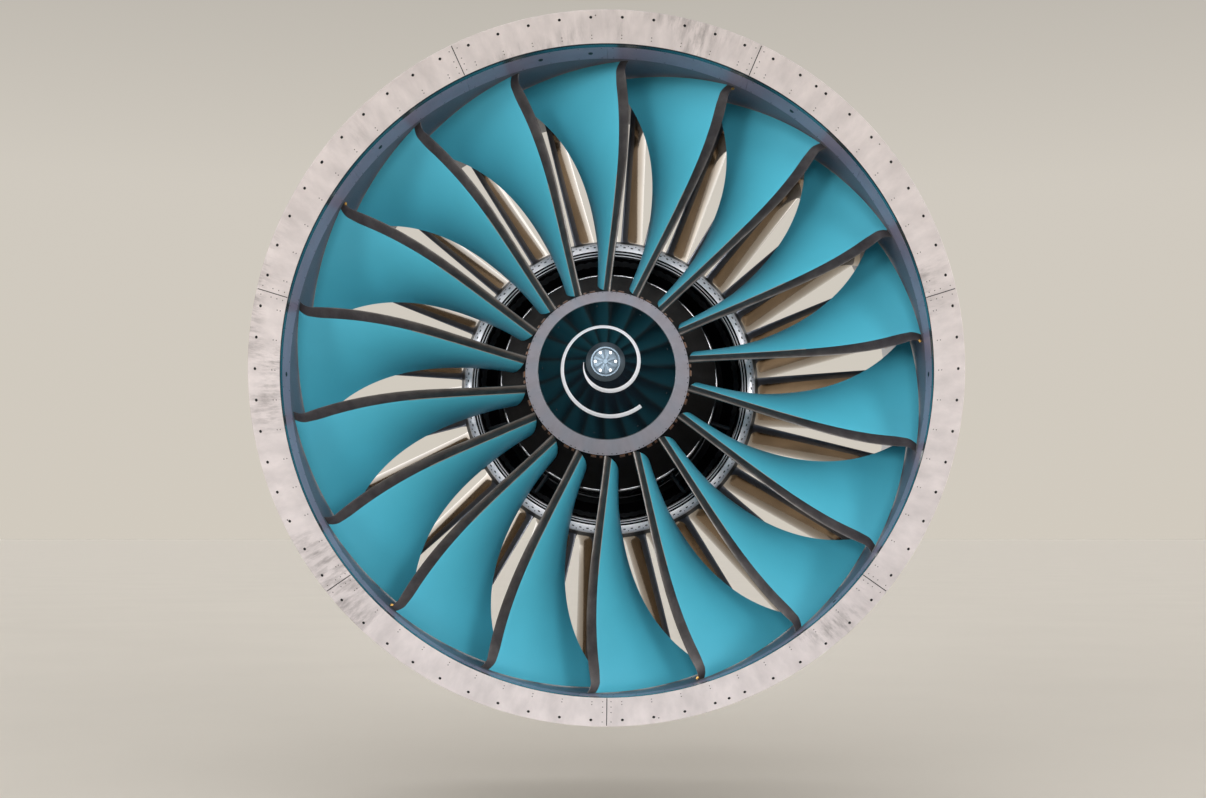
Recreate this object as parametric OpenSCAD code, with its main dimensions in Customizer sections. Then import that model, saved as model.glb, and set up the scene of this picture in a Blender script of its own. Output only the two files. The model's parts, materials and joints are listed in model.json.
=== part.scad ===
// Geared turbofan engine, bare, with a flared ring on the front of its fan case.
// The shaft axis lies along Y, the front faces -Y, and Z is up.
// Y = 0 is the front face of the fan case, where the flared ring is bolted on.
// An angle round the shaft counts from the top, clockwise as seen from the front.

/* [Fan] */
// Radius of the fan at its blade tips
fan_r = 1778; // [1700:1:1850]
// Number of fan blades
fan_blades = 18; // [16:1:20]
// Running gap between the blade tips and the liner
tip_gap = 5; // [4:0.5:12]
// Angle of the first blade's root
fan_clock = -2; // [-10:0.5:10]

/* [Fan blade] */
// Station of the leading edge at the root
le_y_root = 168; // [166:1:180]
// Station of the leading edge at the tip
le_y_tip = 359; // [300:1:400]
// Share of the span at which the leading edge starts to sweep back
sweep_start = 0.4; // [0.2:0.05:0.6]
// Station of the trailing edge at the root
te_y_root = 610; // [600:1:640]
// Station of the trailing edge at mid span
te_y_mid = 640; // [600:1:700]
// Station of the trailing edge at the tip
te_y_tip = 805; // [740:1:840]
// Angle of the leading edge at the root, from the blade's slot
le_turn_root = 3.7; // [3:0.1:4.5]
// Angle of the leading edge at mid span
le_turn_mid = 7.1; // [6:0.1:8]
// Angle of the leading edge at the tip
le_turn_tip = 5.5; // [4:0.1:7]
// Angle of the trailing edge at the root
te_turn_root = -2.3; // [-3:0.1:-1.5]
// Angle of the trailing edge at the tip
te_turn_tip = -17.8; // [-19:0.1:-15]
// How late along the span the trailing edge turns away
te_bend = 2.2; // [1.5:0.1:3]
// Greatest thickness of the blade at the root
blade_t_root = 46; // [36:1:52]
// Greatest thickness of the blade at the tip
blade_t_tip = 16; // [12:1:24]
// Thickness of the trailing edge
te_t = 3; // [2:0.5:5]
// Height of the section's curve at the root
camber_root = 26; // [10:1:34]
// Height of the section's curve at the tip
camber_tip = 8; // [4:1:16]
// Width of the metal leading edge along the chord
guard_w = 70; // [50:1:90]
// Glue line behind the metal leading edge
bond = 0.6; // [0.4:0.1:0.8]

/* [Blade root and disc] */
// Radius of the disc rim
rim_r = 400; // [385:1:410]
// Front face of the disc rim
rim_y = 200; // [190:1:206]
// Width of the disc rim along the shaft
rim_w = 400; // [380:1:405]
// Radius of the bottom of the blade root
root_r = 330; // [322:1:340]
// Width of the blade root at its widest
root_w = 86; // [70:1:96]
// Width of the blade root at its neck
neck_w = 46; // [36:1:56]
// Clearance round the blade root and other seats
seat = 0.3; // [0.2:0.05:0.5]
// Gap between a filler plate and the blade beside it
filler_gap = 2; // [1.5:0.5:4]
// Thickness of a filler plate
filler_t = 8; // [5:1:12]
// Radius of the disc bore
disc_bore = 210; // [200:1:225]

/* [Hub line and spinner] */
// Station where the blade hub line starts
hub_y0 = 162; // [150:1:164]
// Radius where the blade hub line starts
hub_r0 = 451; // [435:1:465]
// Station where the blade hub line ends
hub_y1 = 739; // [710:1:745]
// Radius where the blade hub line ends
hub_r1 = 628; // [600:1:640]
// Radius of the nose cone at its rear edge
cone_r = 373; // [360:1:390]
// Length of the nose cone in front of y = 0
cone_len = 452; // [400:1:500]
// Thickness of the spinner shells
spinner_t = 6; // [4:1:10]
// Radius of the nose cap
cap_r = 101; // [90:1:115]
// Radius of the flat face of the nose cap
cap_face_r = 78; // [60:1:88]
// Length of the nose cap
cap_len = 26; // [20:1:40]
// Radius at which the painted spiral starts
spiral_r0 = 112; // [106:1:130]
// Radius at which the painted spiral ends
spiral_r1 = 274; // [220:1:330]
// Turn of the spiral from start to end
spiral_turn = 492; // [300:1:600]
// Width of the spiral's stroke
spiral_w = 24; // [16:1:32]

/* [Front ring] */
// Radius of the ring's inner edge inside the liner radius
lip_step = 13.5; // [8:0.5:24]
// Radial width of the flared ring
lip_rise = 139.5; // [110:0.5:160]
// Distance of the ring's outer edge in front of y = 0
lip_depth = 133; // [100:1:160]
// Thickness of the ring's sheet
lip_t = 6; // [4:1:10]
// Number of ring segments
lip_parts = 7; // [5:1:9]
// Bolts along the outer edge of one segment
lip_bolts_each = 10; // [6:1:12]
// Angle of the first seam
lip_clock = 25.71; // [0:0.01:51]
// Radius of a bolt head on the ring
lip_bolt_r = 8; // [6:0.5:10]
// Gap at each seam of the ring
lip_seam = 2; // [1:0.5:5]

/* [Fan case] */
// Thickness of the liners inside the case
liner_t = 30; // [20:1:45]
// Wall of the case
case_t = 20; // [12:1:30]
// Length of the case
case_len = 1850; // [1820:1:2000]
// Height of the end flanges over the case wall
flange_h = 50; // [44:1:60]
// Thickness of the end flanges
flange_t = 22; // [16:1:30]
// Bolt holes in each end flange
flange_bolts = 36; // [24:1:48]
// Radius of a flange bolt hole
flange_hole_r = 8.5; // [6:0.5:11]
// Number of front liner panels
panels = 14; // [10:1:18]
// Gap between liner panels
panel_gap = 1.5; // [1:0.5:4]
// Width of the bright band behind the ring
band_w = 73; // [50:1:90]
// Station where the liner over the blade tips starts
track_y = 345; // [320:1:350]
// Station where the liner over the blade tips ends
track_end = 862; // [850:1:900]

/* [Guide vanes] */
// Number of outlet guide vanes
vanes = 40; // [32:1:44]
// Radius of the bypass duct's inner wall
duct_r = 905; // [890:1:925]
// Station of a vane's leading edge at its root
vane_y = 1235; // [1210:1:1260]
// How far a vane leans back towards its tip
vane_sweep = 95; // [40:1:120]
// Length of a vane along the shaft
vane_len = 365; // [300:1:380]
// Angle of a vane's nose to the shaft
vane_angle = 35; // [25:1:40]
// Thickness of a vane
vane_t = 30; // [20:1:36]
// Angle of the first vane
vane_clock = 4.3; // [0:0.1:9]

/* [Gearbox] */
// Pitch radius of the sun gear and of each planet gear
planet_r = 125; // [110:1:130]
// Teeth of the sun gear and of each planet gear
sun_teeth = 25; // [25:10:35]
// Width of the gears
gear_w = 120; // [100:1:130]
// Gap between meshed teeth along the pitch circle
backlash = 3; // [2.8:0.1:3.6]
// Station of the gears' front faces
gear_y = 955; // [950:1:960]
// Radius of a planet pin
pin_r = 38; // [30:1:44]
// Running clearance of a shaft in its bearing
run = 0.08; // [0.05:0.01:0.1]

/* [Core] */
// Front face of the intermediate pressure compressor case
ipc_y = 1450; // [1440:1:1460]
// Length of the intermediate pressure compressor case
ipc_len = 500; // [490:1:520]
// Length of the intermediate case
mid_len = 250; // [240:1:270]
// Length of the high pressure compressor case
hpc_len = 580; // [560:1:600]
// Length of the combustor case
burner_len = 400; // [390:1:420]
// Length of the turbine case
turbine_len = 670; // [650:1:700]
// Length of the exhaust case
exhaust_len = 200; // [190:1:230]
// Length of the core nozzle
nozzle_len = 330; // [250:1:400]
// Length of the exhaust cone
plug_len = 600; // [450:1:700]
// Wall of the core cases
core_t = 12; // [9:1:16]
// Radius of the fan shaft
fan_shaft_r = 185; // [178:1:190]
// Radius of the inner shaft
ip_shaft_r = 100; // [95:1:104]
// Radius of the outer shaft
high_shaft_r = 165; // [160:1:170]
// Running gap between the core blades and their cases
core_gap = 4; // [3:0.5:6]
// Number of fuel nozzles
nozzles = 20; // [16:1:24]

/* [Hidden] */
$fn = 96;
BIG = 180;

// Radii that follow from the sizes above
track_r = fan_r + tip_gap;
case_in = track_r + liner_t + seat;
case_out = case_in + case_t;
flange_r = case_out + flange_h;
bolt_circle_r = case_out + flange_h * 0.55;
lip_r = track_r - lip_step;
planets = 5;
gear_m = 2 * planet_r / sun_teeth;
planet_orbit = 2 * planet_r;
ring_pitch_r = 3 * planet_r;
gear_case_r = ring_pitch_r + 55;
rim_end = rim_y + rim_w;

// Stations of the core's cases
mid_y = ipc_y + ipc_len;
hpc_y = mid_y + mid_len;
burner_y = hpc_y + hpc_len;
turbine_y = burner_y + burner_len;
exhaust_y = turbine_y + turbine_len;
nozzle_y = exhaust_y + exhaust_len;

// Profiles are lists of [radius, station] points, turned about the shaft
module spin(profile, fn = BIG) {
    rotate([-90, 0, 0]) rotate_extrude($fn = fn) polygon(profile);
}

// The part of such a ring between two angles
module sector(from, to, profile) {
    rotate([0, from - 90, 0])
        rotate([-90, 0, 0])
            rotate_extrude(angle = to - from, $fn = BIG) polygon(profile);
}

module ring(r0, r1, y0, y1, fn = BIG) {
    spin([[r0, y0], [r1, y0], [r1, y1], [r0, y1]], fn);
}

// A conical wall between two edges, t thick outwards
module wall(r0, y0, r1, y1, t) {
    spin([[r0, y0], [r0 + t, y0], [r1 + t, y1], [r1, y1]]);
}

// A flat shape in X and Z, drawn from station y0 to y1
module along(y0, y1) {
    translate([0, y1, 0]) rotate([90, 0, 0]) linear_extrude(y1 - y0) children();
}

// A round bar along the shaft's direction, at radius r
module bar(r, y0, y1, bar_r) {
    translate([0, y0, r]) rotate([-90, 0, 0]) cylinder(h = y1 - y0, r = bar_r, $fn = 32);
}

module around(n, clock = 0) {
    for (k = [0 : n - 1]) rotate([0, clock + 360 * k / n, 0]) children();
}

function mix(a, b, t) = a + (b - a) * t;
function ease(t) = t <= 0 ? 0 : t >= 1 ? 1 : t * t * (3 - 2 * t);
// A parabola through three values, at shares 0, 0.5 and 1
function arc3(a, m, b, t) = a + (4 * m - 3 * a - b) * t + (2 * a + 2 * b - 4 * m) * t * t;
function radians(a) = a * PI / 180;

// Fan blade sections. h is the share of the span, u the share of the chord from the nose,
// and side is 1 on the pressure face, -1 on the suction face and 0 on the middle line.
function hub_line(y) = mix(hub_r0, hub_r1, (y - hub_y0) / (hub_y1 - hub_y0));
function span_r(h, y) = mix(hub_line(y), fan_r, h);
function le_y(h) = mix(le_y_root, le_y_tip, ease((h - sweep_start) / (1 - sweep_start)));
function te_y(h) = arc3(te_y_root, te_y_mid, te_y_tip, h);
function le_turn(h) = arc3(le_turn_root, le_turn_mid, le_turn_tip, h);
function te_turn(h) = mix(te_turn_root, te_turn_tip, pow(h, te_bend));
function max_t(h) = mix(blade_t_root, blade_t_tip, pow(h, 0.6));
function camber(h) = mix(camber_root, camber_tip, h);
// Half thickness of a rounded, tapering section
function half_t(t, u) = max(
    5 * t * (0.2969 * sqrt(u) - 0.126 * u - 0.3516 * u * u + 0.2843 * pow(u, 3) - 0.1015 * pow(u, 4)),
    u > 0 ? te_t / 2 : 0);
// Tangential and axial run of the chord at one section
function chord_run(h) = let (r = span_r(h, mix(le_y(h), te_y(h), 0.5)))
    [radians(te_turn(h) - le_turn(h)) * r, te_y(h) - le_y(h)];
function chord(h) = norm(chord_run(h));
function guard_u(h) = guard_w / chord(h);
// One surface point of the blade, grown by extra, lifted to the span's radius
function blade_point(h, u, side, extra = 0) = let (
    run_xy = chord_run(h) / chord(h),
    off = side * (half_t(max_t(h), u) + extra) - camber(h) * 4 * u * (1 - u),
    y = mix(le_y(h), te_y(h), u) - off * run_xy[0],
    r = span_r(h, y),
    turn = mix(le_turn(h), te_turn(h), u) + off * run_xy[1] / r * 180 / PI)
    [r * sin(turn), y, r * cos(turn)];

// The composite body: pressure face forward to aft, suction face back, then the front wedge
BODY_U = [0.27, 0.45, 0.63, 0.82, 1];
BODY_N = 2 * (len(BODY_U) + 1) + 1;
function body_u(h) = concat([guard_u(h) + bond / chord(h)], BODY_U);
function body_section(h) = let (us = body_u(h), last = len(us) - 1) concat(
    [for (i = [0 : last]) blade_point(h, us[i], 1)],
    [for (i = [last : -1 : 0]) blade_point(h, us[i], -1)],
    [blade_point(h, guard_u(h) * 0.45 + 2 * bond / chord(h), 0)]);
function flatten_to(section, z) = [for (p = section) [p[0], p[1], z]];
// A rectangular root section with the same number of points
function root_section(w, z) = let (last = len(BODY_U)) concat(
    [for (i = [0 : last]) [w / 2, mix(rim_y, rim_end, i / last), z]],
    [for (i = [last : -1 : 0]) [-w / 2, mix(rim_y, rim_end, i / last), z]],
    [[0, rim_y - 2, z]]);
BLADE_H = [0, 0.14, 0.32, 0.5, 0.68, 0.85, 1];

// The walls between m sections of n points. Columns named in turned are split along the other
// diagonal, so that the two faces of a thin twisted wall fold the same way.
function holds(list, i) = len([for (v = list) if (v == i) v]) > 0;
function loft_sides(n, m, turned = []) = [for (j = [0 : m - 2]) for (i = [0 : n - 1])
    let (a = j * n + i, b = j * n + (i + 1) % n) each holds(turned, i)
        ? [[a, a + n, b], [b, a + n, b + n]] : [[a, a + n, b + n], [a, b + n, b]]];
function flip(faces) = [for (f = faces) [f[2], f[1], f[0]]];
// The end face of a section whose two faces are joined point to point
function ladder_cap(k, o) = [for (i = [0 : k - 1]) let (s = 2 * k + 1 - i)
    each [[o + i, o + i + 1, o + s - 1], [o + i, o + s - 1, o + s]]];
function body_cap(k, o) = concat(ladder_cap(k, o), [[o + k + k + 1, o + k + k + 2, o]]);

module blade_body() {
    k = len(BODY_U);
    foot = body_section(0);
    neck_z = root_r + (rim_r - root_r) * 0.6;
    flare_z = root_r + (rim_r - root_r) * 0.22;
    points = concat(
        root_section(root_w, root_r), root_section(root_w, flare_z),
        root_section(neck_w, neck_z), root_section(neck_w, rim_r + 0.5),
        flatten_to(foot, rim_r + 2.5),
        [for (h = BLADE_H) each body_section(h)]);
    m = len(BLADE_H) + 5;
    back = [for (i = [k + 1 : 2 * k + 1]) i];
    faces = concat(loft_sides(BODY_N, m, back), body_cap(k, 0),
        flip(body_cap(k, (m - 1) * BODY_N)));
    polyhedron(points, faces);
}

module fan_blade(k) {
    color("#4795ad") rotate([0, fan_clock + 360 * (k - 1) / fan_blades, 0]) blade_body();
}

// The metal leading edge: a wedge section with a notch that takes the blade's front
function guard_section(h) = let (g = guard_u(h)) [
    blade_point(h, g, 1), blade_point(h, g * 0.45, 0), blade_point(h, g, -1),
    blade_point(h, g / 3, -1), blade_point(h, 0, 0), blade_point(h, g / 3, 1)];
function guard_cap(o) = [for (i = [2 : 5]) [o + 1, o + i, o + (i + 1) % 6]];

module leading_edge() {
    sections = [for (h = BLADE_H) each [for (p = guard_section(h)) p]];
    m = len(BLADE_H);
    faces = concat(loft_sides(6, m, [0, 2, 3]), guard_cap(0), flip(guard_cap((m - 1) * 6)));
    polyhedron(sections, faces);
}

module blade_leading_edges() {
    color("#4b4441") around(fan_blades, fan_clock) leading_edge();
}

// The slit between two filler plates: the blade's own outline, grown, and run out fore and aft
function slit_side(side) = [for (u = concat([0, 0.03, 0.1], BODY_U))
    let (p = blade_point(0, u, side, filler_gap)) [p[0], p[1]]];
module blade_slit() {
    nose = blade_point(0, 0, 0);
    tail = blade_point(0, 1, 0);
    half = filler_gap / 2;
    translate([0, 0, rim_r - 20]) linear_extrude(hub_r1 - rim_r + 60) union() {
        polygon(concat(slit_side(1), [for (i = [7 : -1 : 0]) slit_side(-1)[i]]));
        translate([nose[0] - half, hub_y0 - 20]) square([2 * half, le_y_root - hub_y0 + 24]);
        translate([tail[0] - half, te_y_root - 4]) square([2 * half, hub_y1 - te_y_root + 30]);
    }
    translate([-neck_w / 2 - filler_gap, rim_y - 10, rim_r - 20])
        cube([neck_w + 2 * filler_gap, rim_w + 20, 24]);
}

module annulus_fillers() {
    y0 = hub_y0 + 1;
    leg0 = rim_y + 10;
    leg1 = rim_end - 25;
    leg_t = 12;
    foot_r = rim_r + seat;
    color("#101214") difference() {
        spin([
            [hub_line(y0), y0], [hub_line(hub_y1), hub_y1], [hub_line(hub_y1) - filler_t, hub_y1],
            [hub_line(leg1 + leg_t) - filler_t, leg1 + leg_t], [foot_r, leg1 + leg_t],
            [foot_r, leg1], [hub_line(leg1) - filler_t, leg1],
            [hub_line(leg0 + leg_t) - filler_t, leg0 + leg_t], [foot_r, leg0 + leg_t],
            [foot_r, leg0], [hub_line(leg0) - filler_t, leg0], [hub_line(y0) - filler_t, y0]]);
        around(fan_blades, fan_clock) blade_slit();
    }
}

// Disc stations, shared with the shaft and the spinner
disc_in_r = root_r - 34;
web_y0 = rim_y + rim_w * 0.42;
web_y1 = rim_y + rim_w * 0.62;
cob_y0 = rim_y + rim_w * 0.25;
cob_y1 = rim_y + rim_w * 0.8;
cob_r = disc_bore + 50;
spigot_r = disc_in_r + 29;
spigot_y = hub_y0 + 8;

module fan_disc() {
    neck_z = root_r + (rim_r - root_r) * 0.6;
    flare_z = root_r + (rim_r - root_r) * 0.22;
    c = seat;
    color("#8a8d92") difference() {
        spin([
            [disc_bore, cob_y0], [cob_r, cob_y0], [cob_r + 12, web_y0], [disc_in_r, web_y0],
            [disc_in_r, spigot_y], [spigot_r, spigot_y], [spigot_r, rim_y], [rim_r, rim_y],
            [rim_r, rim_end], [disc_in_r, rim_end], [disc_in_r, web_y1], [cob_r + 12, web_y1],
            [cob_r, cob_y1], [disc_bore, cob_y1]]);
        around(fan_blades, fan_clock) along(rim_y - 2.5, rim_end + 1) polygon([
            [-root_w / 2 - c, root_r - c], [root_w / 2 + c, root_r - c],
            [root_w / 2 + c, flare_z], [neck_w / 2 + c, neck_z + c], [neck_w / 2 + c, rim_r + 9],
            [-neck_w / 2 - c, rim_r + 9], [-neck_w / 2 - c, neck_z + c], [-root_w / 2 - c, flare_z]]);
    }
}

// Radius of the nose cone's outside at a station in front of y = 0
function cone_at(y) = mix(cone_r, cap_r, -y / cone_len);
function cone_y(r) = -cone_len * (cone_r - r) / (cone_r - cap_r);

module nose_cone() {
    t = spinner_t;
    flange = 40;
    color("#0b1c22") spin([
        [cap_r, -cone_len], [cone_r, 0], [cone_r - t - flange, 0], [cone_r - t - flange, -2 * t],
        [cone_at(-2 * t) - 1.4 * t, -2 * t], [cap_r - 1.4 * t, -cone_len + 2 * t],
        [cap_r - 50, -cone_len + 2 * t], [cap_r - 50, -cone_len]]);
}

module nose_cone_fairing() {
    t = spinner_t;
    flange = 40;
    web0 = hub_y0 - 12;
    web1 = hub_y0 - 4;
    function inside(y) = mix(cone_r, hub_r0, y / hub_y0) - 1.2 * t;
    color("#9c979c") spin([
        [cone_r, 0], [hub_r0, hub_y0], [hub_r0 - t, hub_y0], [inside(web1), web1],
        [spigot_r, web1], [spigot_r, spigot_y - seat], [disc_in_r, spigot_y - seat],
        [disc_in_r, web0], [inside(web0), web0], [inside(2 * t), 2 * t],
        [cone_r - t - flange, 2 * t], [cone_r - t - flange, 0]]);
}

module nose_cap() {
    y0 = -cone_len - cap_len;
    color("#c9ccd0") union() {
        spin([[0, y0], [cap_face_r, y0], [cap_r, -cone_len - cap_len * 0.42], [cap_r, -cone_len],
            [0, -cone_len]], 96);
        around(6) bar(cap_face_r * 0.76, y0 - 5, y0 + 1, 8);
    }
}

module spiral_mark() {
    steps = 52;
    lift = 0.2;
    t = 0.8;
    a0 = 270;
    // How far the straight steps of the stroke dip below the round cone
    function dip(r) = r * (1 - cos(spiral_turn / steps / 2)) * cone_len / (cone_r - cap_r);
    function mark(i, edge, up) = let (
        f = i / steps,
        grow = min(1, 0.35 + f * 8),
        r = mix(spiral_r0, spiral_r1, f) + edge * spiral_w / 2 * grow,
        rr = max(r, cap_r + 2),
        a = a0 - spiral_turn * f)
        [rr * sin(a), cone_y(rr) - dip(rr) - lift - up * t, rr * cos(a)];
    points = [for (i = [0 : steps]) each [mark(i, -1, 0), mark(i, 1, 0), mark(i, 1, 1), mark(i, -1, 1)]];
    n = 4 * steps;
    faces = concat(flip(loft_sides(4, steps + 1)),
        [[2, 1, 0], [3, 2, 0], [n, n + 1, n + 2], [n, n + 2, n + 3]]);
    color("#f2f2f2") polyhedron(points, faces);
}

// Shaft stations
shaft_flange_t = 25;
carrier_y0 = gear_y - 35;
carrier_y1 = gear_y + gear_w + 10;
plate_t = 25;
shaft_end = carrier_y0;
plate_r = planet_orbit + planet_r * 0.64;

module fan_shaft() {
    r = fan_shaft_r;
    bore = r - 35;
    color("#9a9a98") union() {
        spin([[bore, cob_y1], [cob_r, cob_y1], [cob_r, cob_y1 + shaft_flange_t],
            [r, cob_y1 + shaft_flange_t], [r, shaft_end - 25], [r + 45, shaft_end - 25],
            [r + 45, shaft_end], [bore, shaft_end]]);
        around(16) bar(cob_r - 18, cob_y1 + shaft_flange_t - 1, cob_y1 + shaft_flange_t + 12, 9);
    }
}

module planet_carrier() {
    post_r = planet_r * 0.24;
    post_orbit = planet_orbit + planet_r * 0.34;
    color("#7f8790") union() {
        ring(ip_shaft_r + 20, plate_r, carrier_y0, carrier_y0 + plate_t);
        ring(ip_shaft_r + 50, plate_r, carrier_y1, carrier_y1 + plate_t);
        around(planets) bar(planet_orbit, carrier_y0 + 1, carrier_y1 + plate_t - 1, pin_r);
        around(planets, 180 / planets) bar(post_orbit, carrier_y0 + 1, carrier_y1 + plate_t - 1, post_r);
    }
}

// Gear outlines. A tooth has straight flanks whose width shrinks from root to tip, where it
// is relieved a little more. With an odd number of teeth a gear has a tooth at its top and a
// gap at its foot, so planets set with a tooth outwards mesh with the sun and the ring.
relief = 0.82;
function polar(r, a) = [r * cos(a), r * sin(a)];
function tooth_half(z, r, out) = let (
    pitch_r = z * gear_m / 2,
    half_w = gear_m * PI / 4 - backlash / 4,
    slope = tan(20))
    (half_w - out * (r - pitch_r) * slope) / r * 180 / PI;
function gear_outline(z) = let (
    pitch_r = z * gear_m / 2,
    root = pitch_r - 1.05 * gear_m,
    tip = pitch_r + 0.8 * gear_m)
    [for (k = [0 : z - 1]) let (a = 360 * k / z) each [
        polar(root, a - tooth_half(z, root, 1)), polar(pitch_r, a - tooth_half(z, pitch_r, 1)),
        polar(tip, a - tooth_half(z, tip, 1) * relief), polar(tip, a + tooth_half(z, tip, 1) * relief),
        polar(pitch_r, a + tooth_half(z, pitch_r, 1)), polar(root, a + tooth_half(z, root, 1))]];
// The space inside the ring gear: its teeth point inwards
function ring_outline(z) = let (
    pitch_r = z * gear_m / 2,
    root = pitch_r + 1.05 * gear_m,
    tip = pitch_r - 0.8 * gear_m,
    half = 180 / z)
    [for (k = [0 : z - 1]) let (a = 360 * k / z) each [
        polar(tip, a - half + tooth_half(z, tip, -1)), polar(root, a - half + tooth_half(z, root, -1)),
        polar(root, a + half - tooth_half(z, root, -1)), polar(tip, a + half - tooth_half(z, tip, -1))]];

module gear_body(bore) {
    along(gear_y, gear_y + gear_w) difference() {
        rotate(90) polygon(gear_outline(sun_teeth));
        circle(bore, $fn = BIG);
    }
}

module planet_gear(k) {
    a = 360 * (k - 1) / planets;
    color("#b9bdc2") rotate([0, a, 0]) translate([0, 0, planet_orbit])
        gear_body(pin_r + run);
}

module sun_gear() {
    quill_end = ipc_y + 50;
    color("#b9bdc2") union() {
        gear_body(ip_shaft_r - 20);
        ring(ip_shaft_r - 20, ip_shaft_r, gear_y - 15, quill_end);
        ring(ip_shaft_r - 20, ip_shaft_r + 42, quill_end - 12, quill_end);
    }
}

module ring_gear() {
    color("#a5a9ae") along(gear_y, gear_y + gear_w) difference() {
        circle(gear_case_r, $fn = BIG);
        rotate(90) polygon(ring_outline(3 * sun_teeth));
    }
}

// Rows of core blades, as flat outlines drawn along the shaft
function star(n, r0, r1, h0, h1) = [for (k = [0 : n - 1]) let (a = 360 * k / n) each
    [polar(r0, a - h0), polar(r1, a - h1), polar(r1, a + h1), polar(r0, a + h0)]];
function half_angle(w, r) = asin(w / 2 / r);
module rotor_row(n, r0, r1, w, y, len) {
    along(y, y + len) difference() {
        polygon(star(n, r0, r1, half_angle(w, r0), half_angle(w, r1)));
        circle(r0 - 5, $fn = BIG);
    }
}
module stator_row(n, r0, r1, r_case, w, y, len) {
    along(y, y + len) difference() {
        circle(r_case, $fn = BIG);
        polygon(star(n, r0, r1, 180 / n - half_angle(w, r0), 180 / n - half_angle(w, r1)));
    }
}

// Compressor and turbine flow paths: radii of the hub and the case at a station
ipc_hub0 = 520;
ipc_hub1 = 478;
ipc_case0 = 655;
ipc_case1 = 560;
hpc_hub0 = 328;
hpc_hub1 = 262;
hpc_case0 = 432;
hpc_case1 = 306;
tur_hub0 = 330;
tur_hub1 = 350;
tur_case0 = 450;
tur_case1 = 612;
function ipc_hub(y) = mix(ipc_hub0, ipc_hub1, (y - ipc_y) / (mid_y - ipc_y));
function ipc_case(y) = mix(ipc_case0, ipc_case1, (y - ipc_y) / (mid_y - ipc_y));
function hpc_hub(y) = mix(hpc_hub0, hpc_hub1, (y - hpc_y) / (burner_y - hpc_y));
function hpc_case(y) = mix(hpc_case0, hpc_case1, (y - hpc_y) / (burner_y - hpc_y));
function tur_hub(y) = mix(tur_hub0, tur_hub1, (y - turbine_y) / (exhaust_y - turbine_y));
function tur_case(y) = mix(tur_case0, tur_case1, (y - turbine_y) / (exhaust_y - turbine_y));

// Rows of blades in each rotor, and blades and vanes in one row
IPC_ROWS = 4;
IPC_BLADES = 28;
IPC_VANES = 30;
ipc_pitch = (mid_y - ipc_y - 60) / IPC_ROWS;
function ipc_row_y(k) = ipc_y + 62 + k * ipc_pitch;
HPC_ROWS = 5;
HPC_BLADES = 30;
HPC_VANES = 28;
hpc_pitch = (burner_y - hpc_y - 40) / HPC_ROWS;
function hpc_row_y(k) = hpc_y + 30 + k * hpc_pitch;
TUR_ROWS = 4;
TUR_BLADES = 36;
TUR_VANES = 32;
HPT_BLADES = 48;
HPT_VANES = 28;
tur_first = turbine_y + 175;
tur_pitch = (exhaust_y - tur_first - 10) / TUR_ROWS;
function tur_row_y(k) = tur_first + 65 + k * tur_pitch;
hpt_y = turbine_y + 58;

module ip_compressor_rotor() {
    y0 = ipc_y + 50;
    y1 = mid_y - 14;
    t = 14;
    color("#a9adb0") union() {
        spin([[ip_shaft_r - 20, y0], [ipc_hub(y0) - t, y0], [ipc_hub(y0), y0], [ipc_hub(y1), y1],
            [ipc_hub(y1) - t, y1], [ipc_hub(y0 + t) - t, y0 + t], [ip_shaft_r + 40, y0 + t],
            [ip_shaft_r, y0 + 2 * t], [ip_shaft_r, y0 + 90], [ip_shaft_r - 20, y0 + 90]]);
        for (k = [0 : IPC_ROWS - 1]) let (y = ipc_row_y(k))
            rotor_row(IPC_BLADES, ipc_hub(y) - 6, ipc_case(y + 50) - core_gap, 8, y, 44);
    }
}

module ip_turbine_rotor() {
    y0 = ipc_y + 50 + 90;
    hub = ip_shaft_r;
    t = 16;
    last = tur_row_y(TUR_ROWS - 1) + 50;
    web_y = tur_row_y(1);
    color("#9b9893") union() {
        ring(hub - 20, hub, y0, exhaust_y + 110);
        ring(hub - 1, tur_hub(web_y) - t + 1, web_y, web_y + 20);
        spin([[tur_hub(tur_first + 60) - t, tur_first + 60], [tur_hub(tur_first + 60), tur_first + 60],
            [tur_hub(last), last], [tur_hub(last) - t, last]]);
        for (k = [0 : TUR_ROWS - 1]) let (y = tur_row_y(k))
            rotor_row(TUR_BLADES, tur_hub(y) - 6, tur_case(y) - core_gap, 9, y, 46);
    }
}

module high_compressor_rotor() {
    y0 = hpc_y + 12;
    y1 = burner_y - 6;
    t = 14;
    r = high_shaft_r;
    bore = r - 25;
    color("#a7a39b") union() {
        spin([[bore, hpc_y - 110], [r, hpc_y - 110], [r, hpc_y - 20], [hpc_hub(y0) - t, y0],
            [hpc_hub(y0), y0], [hpc_hub(y1), y1], [hpc_hub(y1) - 3 * t, y1], [hpc_hub(y1) - 3 * t, y1 - t],
            [hpc_hub(y1) - t, y1 - t], [hpc_hub(y0 + t) - t, y0 + t], [bore, hpc_y]]);
        spin([[hpc_hub(y1) - 3 * t, y1 - t], [hpc_hub(y1) - 3 * t, y1], [r, y1 + 40],
            [r, hpt_y], [bore, hpt_y], [bore, y1 + 40]]);
        for (k = [0 : HPC_ROWS - 1]) let (y = hpc_row_y(k))
            rotor_row(HPC_BLADES, hpc_hub(y) - 6, hpc_case(y + 40) - core_gap, 6, y, 36);
    }
}

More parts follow.
